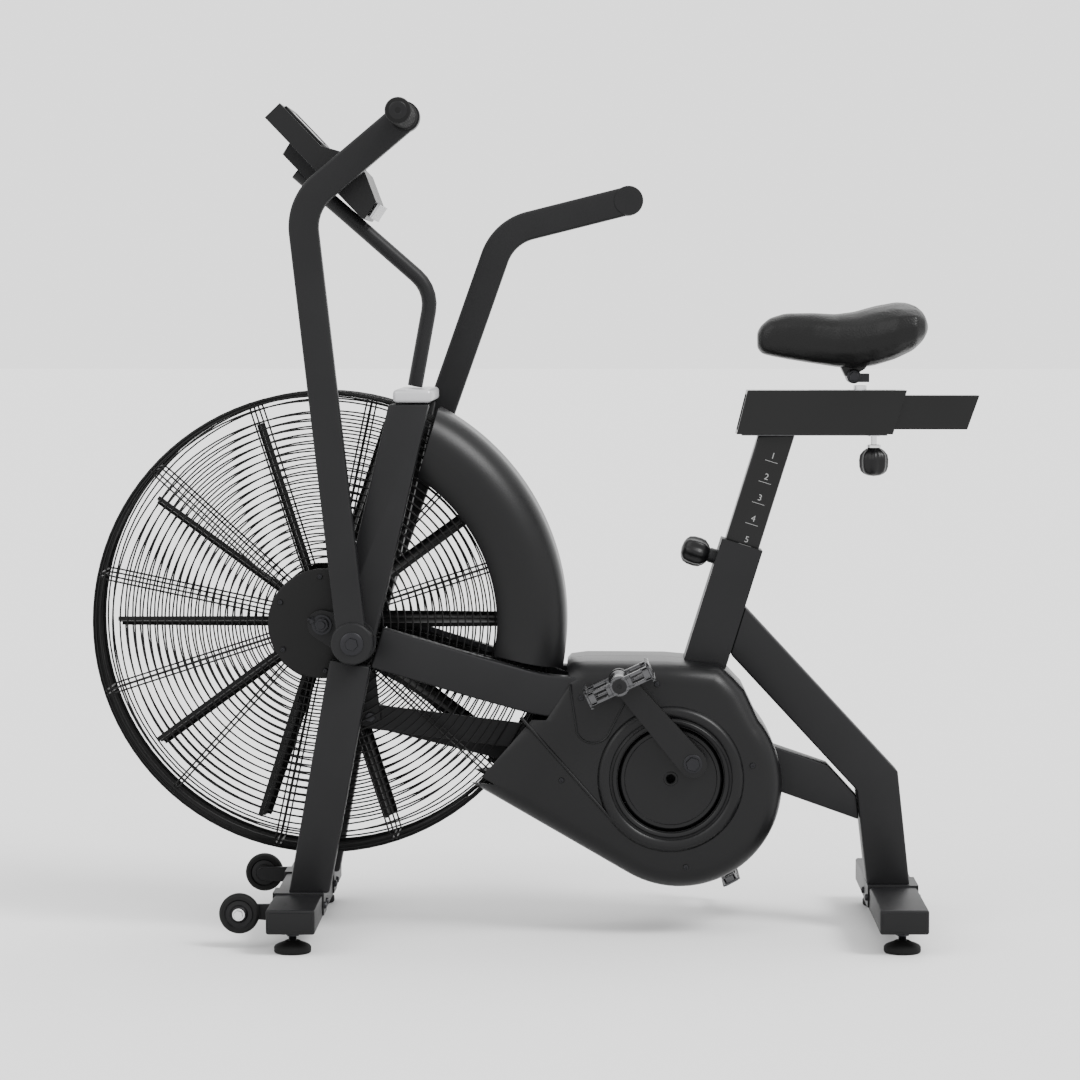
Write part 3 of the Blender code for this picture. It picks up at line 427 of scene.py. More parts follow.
def cage_plate(name, side, face):
    """The round plate in the middle of a cage half, its edge turned in, and the screws round it."""
    hole, sheet, screws, screw_radius = 0.0075, 0.0022, 6, 0.0040
    out = side * SIDEWAYS
    edge = [(-0.003, 0), (0, -0.0015), (0, -0.004), (-0.002, -0.004), (-0.004, -sheet)]
    profile = [(hole, 0)] + [(PLATE_RADIUS + r, along) for r, along in edge] + [(hole, -sheet)]
    bm = bmesh.new()
    lathe(bm, profile, FAN + out * face, out, sides=72, loop=True)
    piece(f"cage_plate_{name}", bm, "cage_wire")
    bm = bmesh.new()
    for i in range(screws):
        x, z = polar(FAN, PLATE_RADIUS - 0.011, math.radians(33) + 2 * math.pi * i / screws)
        socket_screw(bm, (x, side * (face - 0.0003), z), out, screw_radius)
    piece(f"cage_plate_screws_{name}", bm, "dark_steel")


def cage_radius():
    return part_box("cage_rim_upper")[1].x - FAN.x


def rim_hoop():
    """The stout ring where the two halves of the cage are clamped together."""
    inset, stout = 0.0034, 0.0026
    bm = bmesh.new()
    wire(bm, circle(FAN, cage_radius() - inset, 0, 112, *RIM_RUN), stout, SIDEWAYS, sides=8)
    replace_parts(piece("cage_hoop", bm, "cage_wire"), "cage_rim_upper", "cage_rim_lower")


def cover():
    """A smooth mudguard-like channel over the back of the cage."""
    outer, inner, wall, half = 0.355, 0.2535, 0.003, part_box("fan_cover")[1].y
    roll_out, roll_side, roll_steps = 0.058, 0.050, 14
    skin = [(inner, 0.0755), (inner + 0.004, 0.0785), (inner + 0.012, 0.083)]
    for sine, cosine in quarter(roll_steps):
        skin.append((outer - roll_out + roll_out * sine, half - roll_side + roll_side * cosine))
    lining = []
    for i, (r, y) in enumerate(skin):
        share = max(0, (i - 3) / roll_steps) * math.pi / 2
        lining.append((r - wall * math.sin(share), y - wall * math.cos(share)))
    section = [(r, -y) for r, y in skin] + skin[::-1] + lining + [(r, -y) for r, y in lining[::-1]]
    start, top, lean = math.radians(-10.5), math.radians(57), math.radians(4.7)
    bm = bmesh.new()
    rings, turns = [], 56
    for i in range(turns + 1):
        ring = []
        for r, y in section:
            end = top + (r - inner) / (outer - inner) * lean
            x, z = polar(FAN, r, start + (end - start) * i / turns)
            ring.append(bm.verts.new((x, y, z)))
        rings.append(ring)
    stitch(bm, rings)
    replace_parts(piece("cover_shell", bm, "black_plastic", angle=50), "fan_cover")


def blade_section(wide, thin, lip):
    """(Across, thick) points of a blade: a sheet with a middle rib and with both edges folded over."""
    rib, inner = thin + 0.0025, wide - 2 * thin
    outline = [(-wide, -thin), (-wide + 0.004, -thin), (-0.004, -thin), (0, 0.0025 - thin), (0.004, -thin)]
    outline += [(wide, -thin), (wide, lip), (inner, lip), (inner, thin), (0.005, thin), (0, rib)]
    return outline + [(-0.005, thin), (-inner, thin), (-inner, lip), (-wide, lip)]


def fan():
    """A drum with pressed blades, and the nuts of its fixed axle."""
    low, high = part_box("fan_wheel")
    half, reach = (high.y - low.y) / 2, (high.x - low.x) / 2
    bm = bmesh.new()
    end = [(0.0072, 0), (0.020, 0), (0.024, 0.004), (0.040, 0.006), (0.046, 0.012)]
    drum = [(r, along - half) for r, along in end]
    drum += [(0.046, -0.010), (0.049, -0.006), (0.049, 0.006), (0.046, 0.010)]
    drum += [(r, half - along) for r, along in end[::-1]]
    lathe(bm, drum, FAN, SIDEWAYS, loop=True)
    blades, pitch, lip, thin, half_width = 10, math.radians(12), 0.005, 0.0011, 0.033
    stations = [(0.042, 0.72), (0.075, 1.0), (0.18, 0.92), (reach - 0.006, 0.8), (reach - 0.001, 0.72)]
    for i in range(blades):
        turn = 2 * math.pi * i / blades
        radial = heading(turn)
        tangent = heading(turn + math.pi / 2)
        chord = SIDEWAYS * math.cos(pitch) + tangent * math.sin(pitch)
        thick = radial.cross(chord)
        rings = []
        for distance, scale in stations:
            centre, outline = FAN + radial * distance, blade_section(half_width * scale, thin, lip)
            rings.append([bm.verts.new(centre + chord * a + thick * b) for a, b in outline])
        stitch(bm, rings)
    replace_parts(piece("fan_blades", bm, "dark_steel", "fan", look=FINISH["cage_wire"]), "fan_wheel")
    bm = bmesh.new()
    washer_at, nut_at = 0.0868, 0.0885
    for out in (-SIDEWAYS, SIDEWAYS):
        collar(bm, 0.0061, 0.0125, 0.0015, FAN + out * washer_at, out, sides=24)
        hexagon(bm, FAN + out * nut_at, out, 0.019, 0.008)
    piece("fan_axle_nuts", bm, "dark_steel")


# Chain and sprockets

def toothed(bm, centre, radius, teeth, y0, y1):
    """A plate with rounded teeth."""
    points_per_tooth, tooth = 6, 0.0022
    count = teeth * points_per_tooth
    turns = [2 * math.pi * i / count for i in range(count)]
    outline = [polar(centre, radius + tooth * math.cos(teeth * turn), turn) for turn in turns]
    prism(bm, outline, y0, y1)


def pitch_line():
    """Where the chain's pins run, as (X, Z): round the chainring, along to the fan's sprocket and back."""
    tooth_height = 0.005
    reach = []
    for node in ("chainring", "fan_sprocket"):
        low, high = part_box(node)
        reach.append((high.x - low.x) / 2 + tooth_height)
    big, small = reach
    run = Vector((FAN.x - CRANK.x, FAN.z - CRANK.z))
    bearing = math.atan2(run.y, run.x)
    lean = math.acos((big - small) / run.length)
    path = []
    for i in range(61):
        path.append(Vector(polar(CRANK, big, bearing + lean + (2 * math.pi - 2 * lean) * i / 60)))
    for i in range(31):
        path.append(Vector(polar(FAN, small, bearing - lean + 2 * lean * i / 30)))
    return path + [path[0]]


def chain_pins():
    """Evenly spaced points along the pitch line, about half an inch apart and even in number."""
    path, lengths = pitch_line(), [0.0]
    for a, b in zip(path, path[1:]):
        lengths.append(lengths[-1] + (b - a).length)
    links = 2 * round(lengths[-1] / 0.0254)
    pins, k = [], 0
    for i in range(links):
        wanted = lengths[-1] * i / links
        while lengths[k + 1] < wanted:
            k += 1
        share = (wanted - lengths[k]) / (lengths[k + 1] - lengths[k])
        pins.append(path[k].lerp(path[k + 1], share))
    return pins


def chain():
    """Rollers, and side plates that are inner and outer in turn."""
    low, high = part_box("drive_chain")
    y = (low.y + high.y) / 2
    roller, roller_width, plate_radius, half_plate = 0.0035, 0.0044, 0.0038, 0.0004
    inner_plate, outer_plate = 0.0023, 0.0031
    pins = chain_pins()
    bm = bmesh.new()
    for i, pin in enumerate(pins):
        after = pins[(i + 1) % len(pins)]
        start = (pin.x, y - roller_width / 2, pin.y)
        lathe(bm, [(roller, 0), (roller, roller_width)], start, SIDEWAYS, sides=8)
        turn = math.atan2((after - pin).y, (after - pin).x)
        outline = []
        for at, base in ((after, turn - math.pi / 2), (pin, turn + math.pi / 2)):
            eye = Vector((at.x, 0, at.y))
            outline += [polar(eye, plate_radius, base + math.pi * step / 3) for step in range(4)]
        offset = inner_plate if i % 2 else outer_plate
        for middle_y in (y - offset, y + offset):
            prism(bm, outline, middle_y - half_plate, middle_y + half_plate)
    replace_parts(piece("chain_links", bm, "dark_steel"), "drive_chain")


def sprockets():
    plate = 0.0032
    for node, teeth, body in (("chainring", 42, "crank"), ("fan_sprocket", 15, "fan")):
        low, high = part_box(node)
        centre = (low + high) / 2
        bm = bmesh.new()
        toothed(bm, centre, (high.x - low.x) / 2, teeth, high.y - plate, high.y)
        if node == "fan_sprocket":
            collar(bm, 0.0072, 0.018, 0.006, (centre.x, low.y, centre.z), SIDEWAYS)
        else:
            dish = [(0.022, -0.001), (0.024, -0.002), (0.048, -0.002), (0.050, -0.001)]
            lathe(bm, dish, centre, -SIDEWAYS, loop=True)
        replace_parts(piece(f"{node}_teeth", bm, "dark_steel", body), node)


# Crank housing details

def housing_edge(inset):
    """The crank housing from the side: round at the back and a wedge at the front."""
    low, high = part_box("crank_housing_left")
    radius, slope = 0.149 - inset, math.tan(math.radians(30))
    centre = Vector((high.x - 0.149, 0.2220))
    points = [(0.0520 + inset, high.z - 0.003 - inset), (0.0750, high.z - inset), (0.1300, high.z - inset)]
    points += [(0.1900, high.z - 0.0005 - inset), (0.2680 - inset / 2, high.z - 0.0075 - inset)]
    points += [(0.2860 - inset, high.z - 0.0240 - inset / 2), (0.3040 - inset, high.z - 0.0430 - inset / 2)]
    for i in range(41):
        turn = math.radians(40 - 160 * i / 40)
        points.append((centre.x + radius * math.cos(turn), centre.y + radius * math.sin(turn)))
    x, z = points[-1]
    front = low.x + inset
    for share in (0.25, 0.5, 0.75, 1):
        reach = (x - front) * share
        points.append((x - reach, z + reach * slope))
    points += [(-0.0215 + inset, 0.3240 - inset / 4), (-0.0010 + inset, 0.3235 - inset / 4)]
    points.append((0.0340 + inset, 0.3800 - inset / 2))
    return points


def cut_away(shell, tools):
    """Takes each named form away from the shell."""
    cutters = []
    for name, tool in tools.items():
        bmesh.ops.recalc_face_normals(tool, faces=tool.faces)
        cutters.append(placed(name, baked(name, tool)))
        modify(shell, "BOOLEAN", operation="DIFFERENCE", solver="EXACT", object=cutters[-1])
    apply_modifiers(shell)
    for cutter in cutters:
        bpy.data.objects.remove(cutter)


def housing_shells():
    """Each half is a skin that rolls over from its rim and swells towards the crank, with a wall."""
    wall, clearance, disc_hole, tube_top = 0.0028, 0.003, 0.0768, Vector((0.3024, 0, 0.5686))
    tube_axis, tube_size = direction("seat_height"), (0.064, 0.0612, 0.218)
    brace = [(0.270, 0.228), (0.450, 0.170), (0.450, 0.245), (0.270, 0.305)]
    slot = [(-0.100, 0.180), (-0.032, 0.180), (-0.032, 0.260), (-0.100, 0.260)]
    mouth = [(-0.110, 0.225), (0.030, 0.225), (0.040, 0.300), (0.052, 0.378), (0.030, 0.440), (-0.110, 0.440)]
    for name, side in SIDES.items():
        face = far_face(f"crank_housing_{name}") - 0.004
        skin = [(0.0290, face), (0.0190, face - 0.0022), (0.0110, face - 0.0070), (0.0048, face - 0.0145)]
        skin += [(0.0012, face - 0.024), (0, face - 0.034), (0, 0.0005)]
        skin += [(wall, 0.0005), (wall, face - 0.036), (0.0150, face - 0.0080), (0.0290, face - wall)]
        bm = bmesh.new()
        rings = []
        for inset, depth in skin:
            rings.append([bm.verts.new((x, side * depth, z)) for x, z in housing_edge(inset)])
        stitch(bm, rings)
        shell = piece(f"housing_shell_{name}", bm, "black_plastic", angle=50)
        openings = ("cage", "disc", "seat_tube", "brace", "link", "mouth")
        tools = {f"for_{opening}": bmesh.new() for opening in openings}
        cage = cage_radius() + clearance
        lathe(tools["for_cage"], [(cage, -side * 0.01), (cage, side * 0.0745)], FAN, SIDEWAYS, sides=128)
        disc = [(disc_hole, side * 0.05), (disc_hole, side * 0.13)]
        lathe(tools["for_disc"], disc, CRANK, SIDEWAYS, sides=96)
        axes = (tube_axis.cross(SIDEWAYS), SIDEWAYS, tube_axis)
        slab(tools["for_seat_tube"], tube_top - tube_axis * tube_size[2] / 2, axes, tube_size)
        prism(tools["for_brace"], brace, -0.0255, 0.0255)
        prism(tools["for_link"], slot, side * 0.0450, side * 0.0570)
        prism(tools["for_mouth"], mouth, -side * 0.01, side * (face - wall))
        cut_away(shell, tools)
        shell.data.shade_smooth()
        shell.data.set_sharp_from_angle(angle=math.radians(42))
        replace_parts(shell, f"crank_housing_{name}")


def housing_trim():
    """Each side's stepped ring round the disc, its moulded ridge, a raised line along the edge of a hollow that is
    not cut, and its screws.
    """
    for name, side in SIDES.items():
        low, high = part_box(f"crank_housing_{name}")
        face = max(abs(low.y), high.y) - 0.004
        out = SIDEWAYS * side
        bm = bmesh.new()
        steps = [(0.0772, -0.0120), (0.0778, 0.0030), (0.0790, 0.0044), (0.0835, 0.0048), (0.0850, 0.0026)]
        steps += [(0.0880, 0.0022), (0.0900, 0.0050), (0.0985, 0.0056), (0.1015, 0.0042), (0.1060, 0.0004)]
        steps += [(0.1060, -0.0010), (0.0800, -0.0120)]
        lathe(bm, steps, CRANK + out * face, out, sides=96, loop=True)
        piece(f"housing_ring_{name}", bm, "black_plastic", angle=60)

        bm = bmesh.new()
        tip = Vector((low.x + 0.074, 0, 0.3235))
        reach = 0.103
        away = CRANK - tip
        turn = math.atan2(away.z, away.x) - math.asin(reach / away.length)
        touch = tip + heading(turn) * math.sqrt(away.length**2 - reach**2)
        path = [tip.lerp(touch, i / 12) for i in range(12)]
        bottom = math.atan2((touch - CRANK).z, (touch - CRANK).x)
        for i in range(12):
            around = bottom + math.radians(62) * i / 11
            path.append(CRANK + heading(around) * reach)
        wire(bm, [point + out * face for point in path], 0.0026, SIDEWAYS, sides=8)
        piece(f"housing_ridge_{name}", bm, "black_plastic", angle=60)

        bm = bmesh.new()
        corner = CRANK + Vector((-0.112, 0, 0.108))
        hollow = [corner + Vector((-0.034, 0, 0.030))]
        for i in range(11):
            around = math.radians(205) + math.radians(140) * i / 10
            hollow.append(corner + Vector((0.026 * math.cos(around), 0, -0.030 + 0.026 * math.sin(around))))
        hollow.append(corner + Vector((0.046, 0, 0.004)))
        wire(bm, [point + out * (face + 0.0002) for point in hollow], 0.0016, SIDEWAYS, sides=8)
        piece(f"housing_hollow_edge_{name}", bm, "black_plastic", angle=60)

        bm = bmesh.new()
        for x, z in ((-0.130, 0.118), (-0.158, -0.002), (0.118, 0.020), (0.022, -0.128), (-0.020, 0.138)):
            spot = CRANK + Vector((x, 0, z)) + out * (face - 0.0006)
            socket_screw(bm, spot, out, 0.0042)
        piece(f"housing_screws_{name}", bm, "dark_steel")


def disc_trim():
    """On each crank disc: a raised rim and a ring round the spindle."""
    for name, _, out in BOTH:
        start = CRANK + out * far_face(f"crank_disc_{name}")
        bm = bmesh.new()
        rim = [(0.0660, 0), (0.0672, 0.0014), (0.0715, 0.0014), (0.0733, 0)]
        lathe(bm, rim, start, out, sides=96, loop=True)
        inner = [(0.0068, 0), (0.0074, 0.0008), (0.0098, 0.0008), (0.0106, 0)]
        lathe(bm, inner, start, out, sides=32, loop=True)
        piece(f"disc_rim_{name}", bm, "black_plastic", "crank")


def crank_hardware():
    """The bolt of the link's pin and the cap of the pedal's axle on both crank arms."""
    face = 0.1290
    for name, side, out in BOTH:
        pedal, pin = pivot(f"{name}_pedal_spin"), pivot(f"{name}_link_pin")
        bm = bmesh.new()
        washer = [(0.0135, 0), (0.0135, 0.0018), (0.0120, 0.0026), (0, 0.0026)]
        lathe(bm, washer, (pin.x, side * face, pin.z), out, sides=32)
        hexagon(bm, (pin.x, side * (face + 0.002), pin.z), out, 0.0185, 0.0075)
        cap(bm, 0.0105, 0.004, 0.001, (pedal.x, side * face, pedal.z), out)
        piece(f"crank_bolts_{name}", bm, "dark_steel", "crank")


def pedals():
    """Two toothed cage plates round a barrel, with end bars and bearing caps."""
    for name, side in SIDES.items():
        centre = pivot(f"{name}_pedal_spin")
        low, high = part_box(f"pedal_{name}")
        near, far = sorted((abs(low.y), abs(high.y)))
        lean = math.radians(25 if side < 0 else -62)
        along = heading(lean)
        thick = heading(lean + math.pi / 2)
        out = SIDEWAYS * side
        axes = (along, out, thick)

        def at(a, y, t):
            return Vector((centre.x, 0, centre.z)) + along * a + out * y + thick * t

        bm = bmesh.new()
        half_long = 0.048
        for end in (-1, 1):
            slab(bm, at(end * half_long, (near + far) / 2, 0), axes, (0.0035, far - near, 0.022), 0.0008)
            for i in range(9):
                y = near + 0.006 + (far - near - 0.012) * i / 8
                slab(bm, at(end * half_long, y, 0), axes, (0.0035, 0.0035, 0.0285), 0.0007)
        for y in (near + 0.003, far - 0.003):
            for level in (-0.0075, 0.0075):
                slab(bm, at(0, y, level), axes, (2 * half_long, 0.005, 0.0045), 0.0012)
            for end in (-1, 1):
                slab(bm, at(end * (half_long - 0.006), y, 0), axes, (0.010, 0.005, 0.020), 0.0012)
                slab(bm, at(end * 0.016, y, 0), axes, (0.006, 0.005, 0.014), 0.0012)
        profile = [(0.0073, 0), (0.0135, 0), (0.0145, 0.002), (0.0145, 0.012), (0.0115, 0.018)]
        length = far - near
        profile += [(0.0115, length - 0.018), (0.0145, length - 0.012), (0.0145, length - 0.002)]
        profile += [(0.0135, length - 0.0006), (0.0073, length - 0.0006)]
        lathe(bm, profile, at(0, near, 0), out, sides=36, loop=True)
        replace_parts(piece(f"pedal_cage_{name}", bm, "pedal_alloy", f"{name}_pedal"), f"pedal_{name}")
        bm = bmesh.new()
        dished = [(0.0105, 0), (0.0105, 0.0012), (0.0085, 0.0022)]
        dished += [(0.003, 0.0022), (0.0025, 0.0012), (0, 0.0012)]
        lathe(bm, dished, at(0, far - 0.0008, 0), out, sides=32)
        piece(f"pedal_cap_{name}", bm, "black_plastic", f"{name}_pedal")


# Arms

def arm_line(name):
    """The arm's pivot, its bend and its end, from its own node and its grip's."""
    end = middle(f"grip_{name}")
    end.y = 0
    upper, straight = 0.1932, 0.6294
    run = end - ARM_PIVOT
    along = (straight**2 - upper**2 + run.length**2) / (2 * run.length)
    across = math.sqrt(straight**2 - along**2)
    ahead = run.normalized()
    return ARM_PIVOT, ARM_PIVOT + ahead * along + Vector((-ahead.z, 0, ahead.x)) * across, end


def rounded_path(points, radius, steps):
    """Three points joined by straight runs and one arc."""
    start, corner, end = points
    back, ahead = (start - corner).normalized(), (end - corner).normalized()
    half = back.angle(ahead) / 2
    reach = radius / math.tan(half)
    centre = corner + (back + ahead).normalized() * (radius / math.sin(half))
    first, last = corner + back * reach - centre, corner + ahead * reach - centre
    path = [start]
    for i in range(steps + 1):
        path.append(centre + first.slerp(last, i / steps).normalized() * radius)
    path.append(end)
    return path


def box_tube(bm, path, width, y0, y1, rounding):
    """A rectangular tube with rounded corners, along a path in X and Z."""
    steps = 4
    half, depth = width / 2, (y1 - y0) / 2
    section = []
    for cx, cy, base in ((half, depth, 0), (-half, depth, 1), (-half, -depth, 2), (half, -depth, 3)):
        for i in range(steps + 1):
            turn = math.pi / 2 * (base + i / steps)
            shift_x = math.copysign(half - rounding, cx) + rounding * math.cos(turn)
            shift_y = math.copysign(depth - rounding, cy) + rounding * math.sin(turn)
            section.append((shift_x, shift_y))
    rings = []
    for i, point in enumerate(path):
        ahead = path[min(i + 1, len(path) - 1)] - path[max(i - 1, 0)]
        across = ahead.normalized().cross(SIDEWAYS)
        rings.append([bm.verts.new(point + across * a + SIDEWAYS * ((y0 + y1) / 2 + b)) for a, b in section])
    stitch(bm, rings)


def arms():
    """Each arm's bent tube and hub, its pivot bolt, and its ribbed grip."""
    near, far, width, bend, rounding = 0.1305, 0.1555, 0.0425, 0.075, 0.0045
    hub_near, hub_width, bolt_at, ring_at = 0.1225, 0.0375, 0.1600, 0.3098
    lip, first_rib, rib, ribs = 0.0004, 0.011, 0.0072, 17
    for name, side in SIDES.items():
        body, out = f"{name}_arm", SIDEWAYS * side
        start, corner, end = arm_line(name)
        bm = bmesh.new()
        tube_from = start + (corner - start).normalized() * 0.004
        path = rounded_path([tube_from, corner, end], bend, 20)
        box_tube(bm, path, width, *sorted((side * near, side * far)), rounding)
        half, length = width / 2, far - near
        outer = half + 0.0009
        socket = [(0, -2 * lip), (half + 0.0002, -2 * lip), (outer, lip), (outer, length - lip)]
        lathe(bm, socket + [(half, length + lip), (0, length + lip)], end + out * near, out)
        hub = [(0, 0), (0.0280, 0), (0.0300, 0.002)]
        hub += [(r, hub_width - y) for r, y in hub[::-1]]
        lathe(bm, hub, start + out * hub_near, out)
        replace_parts(piece(f"arm_tube_{name}", bm, "frame_paint", body), f"arm_{name}")

        bm = bmesh.new()
        cap(bm, 0.0165, 0.003, 0.001, start + out * bolt_at, out, sides=40)
        hexagon(bm, start + out * (bolt_at + 0.002), out, 0.0170, 0.006)
        piece(f"arm_pivot_bolt_{name}", bm, "dark_steel", body)

        low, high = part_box(f"grip_{name}")
        length = high.y - low.y
        profile = [(0.0150, 0), (0.0193, 0.0004), (0.0195, 0.004), (0.0180, 0.007), (0.0168, 0.009)]
        for i in range(ribs):
            steps = ((0.0163, 0), (0.0170, 0.0012), (0.0170, 0.0050), (0.0163, 0.0062))
            profile += [(r, first_rib + rib * i + along) for r, along in steps]
        tail = ((0.0178, 0.012), (0.0184, 0.009), (0.0184, 0.004), (0.0170, 0.0012), (0.0120, 0.0002), (0, 0))
        profile += [(r, length - back) for r, back in tail]
        bm = bmesh.new()
        lathe(bm, profile, end + out * (far + 0.0005), out)
        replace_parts(piece(f"grip_sleeve_{name}", bm, "black_rubber", body), f"grip_{name}")
        bm = bmesh.new()
        ring = [(0.0040, 0), (0.0052, 0.0005), (0.0118, 0.0005), (0.0126, 0)]
        lathe(bm, ring, end + out * ring_at, out, loop=True)
        piece(f"grip_end_ring_{name}", bm, "black_plastic", body)


# Frame hardware

def frame_hardware():
    """Saddle brackets over the foot bars with their screws, and the bars' end caps."""
    half_bar, sheet, gap, drop = 0.0347, 0.0025, 0.0004, 0.030
    spans_at = {"front": [(-0.126, -0.074), (0.074, 0.126)], "rear": [(-0.042, 0.042)]}
    for end, spans in spans_at.items():
        low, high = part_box(f"{end}_foot_bar")
        centre = middle(f"{end}_foot_bar").x if end == "rear" else high.x - half_bar
        for index, (y0, y1) in enumerate(spans):
            outer, inner, foot = half_bar + sheet, half_bar + gap, high.z - drop
            outline = [(-outer, foot), (-outer, high.z + sheet), (outer, high.z + sheet), (outer, foot)]
            outline += [(inner, foot), (inner, high.z + gap), (-inner, high.z + gap), (-inner, foot)]
            bm = bmesh.new()
            prism(bm, [(centre + x, z) for x, z in outline], y0, y1, 0.0007, 1)
            piece(f"foot_bracket_{end}_{index}", bm, "frame_paint")
            bm = bmesh.new()
            for y in (y0 + 0.007, y1 - 0.007):
                for face in (-1, 1):
                    spot = (centre + face * outer, y, high.z - 0.016)
                    socket_screw(bm, spot, (face, 0, 0), 0.0052)
            piece(f"foot_bracket_screws_{end}_{index}", bm, "dark_steel")
        bm = bmesh.new()
        x0, x1, z0, z1 = centre - 0.031, centre + 0.031, low.z + 0.004, high.z - 0.004
        for side, y in ((-1, low.y), (1, high.y)):
            outline = [(x0, z0), (x1, z0), (x1, z1), (x0, z1)]
            prism(bm, outline, y - 0.0002 * side, y + 0.0016 * side, 0.001, 2)
        piece(f"foot_bar_caps_{end}", bm, "black_plastic")


def levelling_feet():
    """A ribbed rubber pad and a threaded stud with its jam nut, four times."""
    threads, thread = 9, 0.0016
    pad = [(-0.003, 0), (-0.0005, 0.0012), (0, 0.003), (0, 0.009), (-0.002, 0.0115), (-0.006, 0.0135)]
    for foot in [f"{end}_{name}" for end in ("front", "rear") for name in SIDES]:
        low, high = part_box(f"levelling_foot_{foot}")
        centre, radius = (low + high) / 2, (high.x - low.x) / 2
        base = Vector((centre.x, centre.y, low.z))
        profile = [(0, 0)] + [(radius + r, level) for r, level in pad]
        bm = bmesh.new()
        profile += [(0.012, 0.0165), (0.010, 0.018), (0, 0.018)]
        lathe(bm, profile, base, UP, sides=56, lobes=28, depth=0.010)
        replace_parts(piece(f"foot_pad_{foot}", bm, "black_rubber"), f"levelling_foot_{foot}")
        stud = [(0, 0.016)]
        for i in range(threads):
            level = 0.017 + thread * i
            stud += [(0.0052, level), (0.0061, level + thread / 2)]
        bm = bmesh.new()
        lathe(bm, stud + [(0, high.z - low.z)], base, UP, sides=24)
        hexagon(bm, base + UP * (high.z - 0.0072), UP, 0.0165, 0.0065)
        piece(f"foot_stud_{foot}", bm, "dark_steel")


def transport_wheels():
    for name, side in SIDES.items():
        node, body, out = f"transport_wheel_{name}", f"{name}_wheel", SIDEWAYS * side
        low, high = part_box(node)
        centre, radius, width = pivot(f"{name}_wheel_spin"), (high.z - low.z) / 2, high.y - low.y
        start = Vector((centre.x, side * min(abs(low.y), abs(high.y)), centre.z))
        tread = [(-0.008, 0.0030), (-0.0035, 0.0034), (-0.0008, 0.0060), (0, 0.0090)]
        tread += [(r, width - y) for r, y in tread[::-1]] + [(-0.009, width - 0.006), (-0.009, 0.006)]
        bm = bmesh.new()
        lathe(bm, [(radius + r, y) for r, y in tread], start, out, sides=56, loop=True)
        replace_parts(piece(f"wheel_tyre_{name}", bm, "black_rubber", body), node)
        hub = [(0.0062, 0), (0.0105, 0), (0.0118, 0.0012), (0.0130, 0.0045)]
        hub += [(radius - 0.010, 0.0052), (radius - 0.0078, 0.0036)]
        bm = bmesh.new()
        lathe(bm, hub + [(r, width - y) for r, y in hub[::-1]], start, out, loop=True)
        piece(f"wheel_hub_{name}", bm, "black_plastic", body)
        bm = bmesh.new()
        collar(bm, 0.0062, 0.0088, 0.0012, start + out * (width + 0.0002), out, sides=28)
        hexagon(bm, start + out * (width + 0.0014), out, 0.0125, 0.0055)
        piece(f"wheel_nut_{name}", bm, "chrome")


def pivot_hardware():
    """A collar at each arm's pivot and a chain tensioner at each end of the fan's axle."""
    ring = [(0.0262, 0), (0.0262, 0.0016), (0.0300, 0.0022), (0.0322, 0.0016), (0.0322, 0)]
    toward = (ARM_PIVOT - FAN).normalized()
    for name, _, out in BOTH:
        bm = bmesh.new()
        lathe(bm, ring, ARM_PIVOT + out * 0.1153, out, loop=True)
        piece(f"pivot_collar_{name}", bm, "frame_paint")
        bm = bmesh.new()
        eye = FAN + out * 0.0888
        wire(bm, [eye - toward * 0.022, eye - toward * 0.010], 0.0028, SIDEWAYS, sides=10)
        hexagon(bm, eye - toward * 0.0125, -toward, 0.0095, 0.005)
        collar(bm, 0.0105, 0.0145, 0.0036, eye - out * 0.0018, out, sides=32)
        piece(f"chain_tensioner_{name}", bm, "dark_steel")


def link_eyes():
    """A bearing boss at the front end of each link, and the pin at the lever's end."""
    for name, _, out in BOTH:
        x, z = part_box(f"link_{name}")[0].x + 0.0180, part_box(f"arm_lever_{name}")[0].z + 0.0150
        eye = Vector((x, 0, z))
        bm = bmesh.new()
        collar(bm, 0.0070, 0.0125, 0.0009, eye + out * far_face(f"link_{name}"), out)
        piece(f"link_eye_{name}", bm, "dark_steel", f"{name}_link")
        bm = bmesh.new()
        hexagon(bm, eye + out * 0.0621, out, 0.0130, 0.0045)
        piece(f"lever_pin_{name}", bm, "dark_steel", f"{name}_arm")


# Seat

def flutes(bm, base, axis, height, radius, lobes=8):
    """A hand knob: a fluted barrel with a domed top."""
    profile = [(radius * 0.35, 0, "plain"), (radius * 0.55, 0.001, "plain"), (radius * 0.72, height * 0.10)]
    profile += [(radius * 0.94, height * 0.24), (radius, height * 0.42), (radius * 0.98, height * 0.66)]
    profile += [(radius * 0.88, height * 0.82), (radius * 0.72, height * 0.91, "plain")]
    profile += [(radius * 0.45, height * 0.97, "plain"), (0, height, "plain")]
    lathe(bm, profile, base, axis, sides=96, lobes=lobes, depth=0.055)


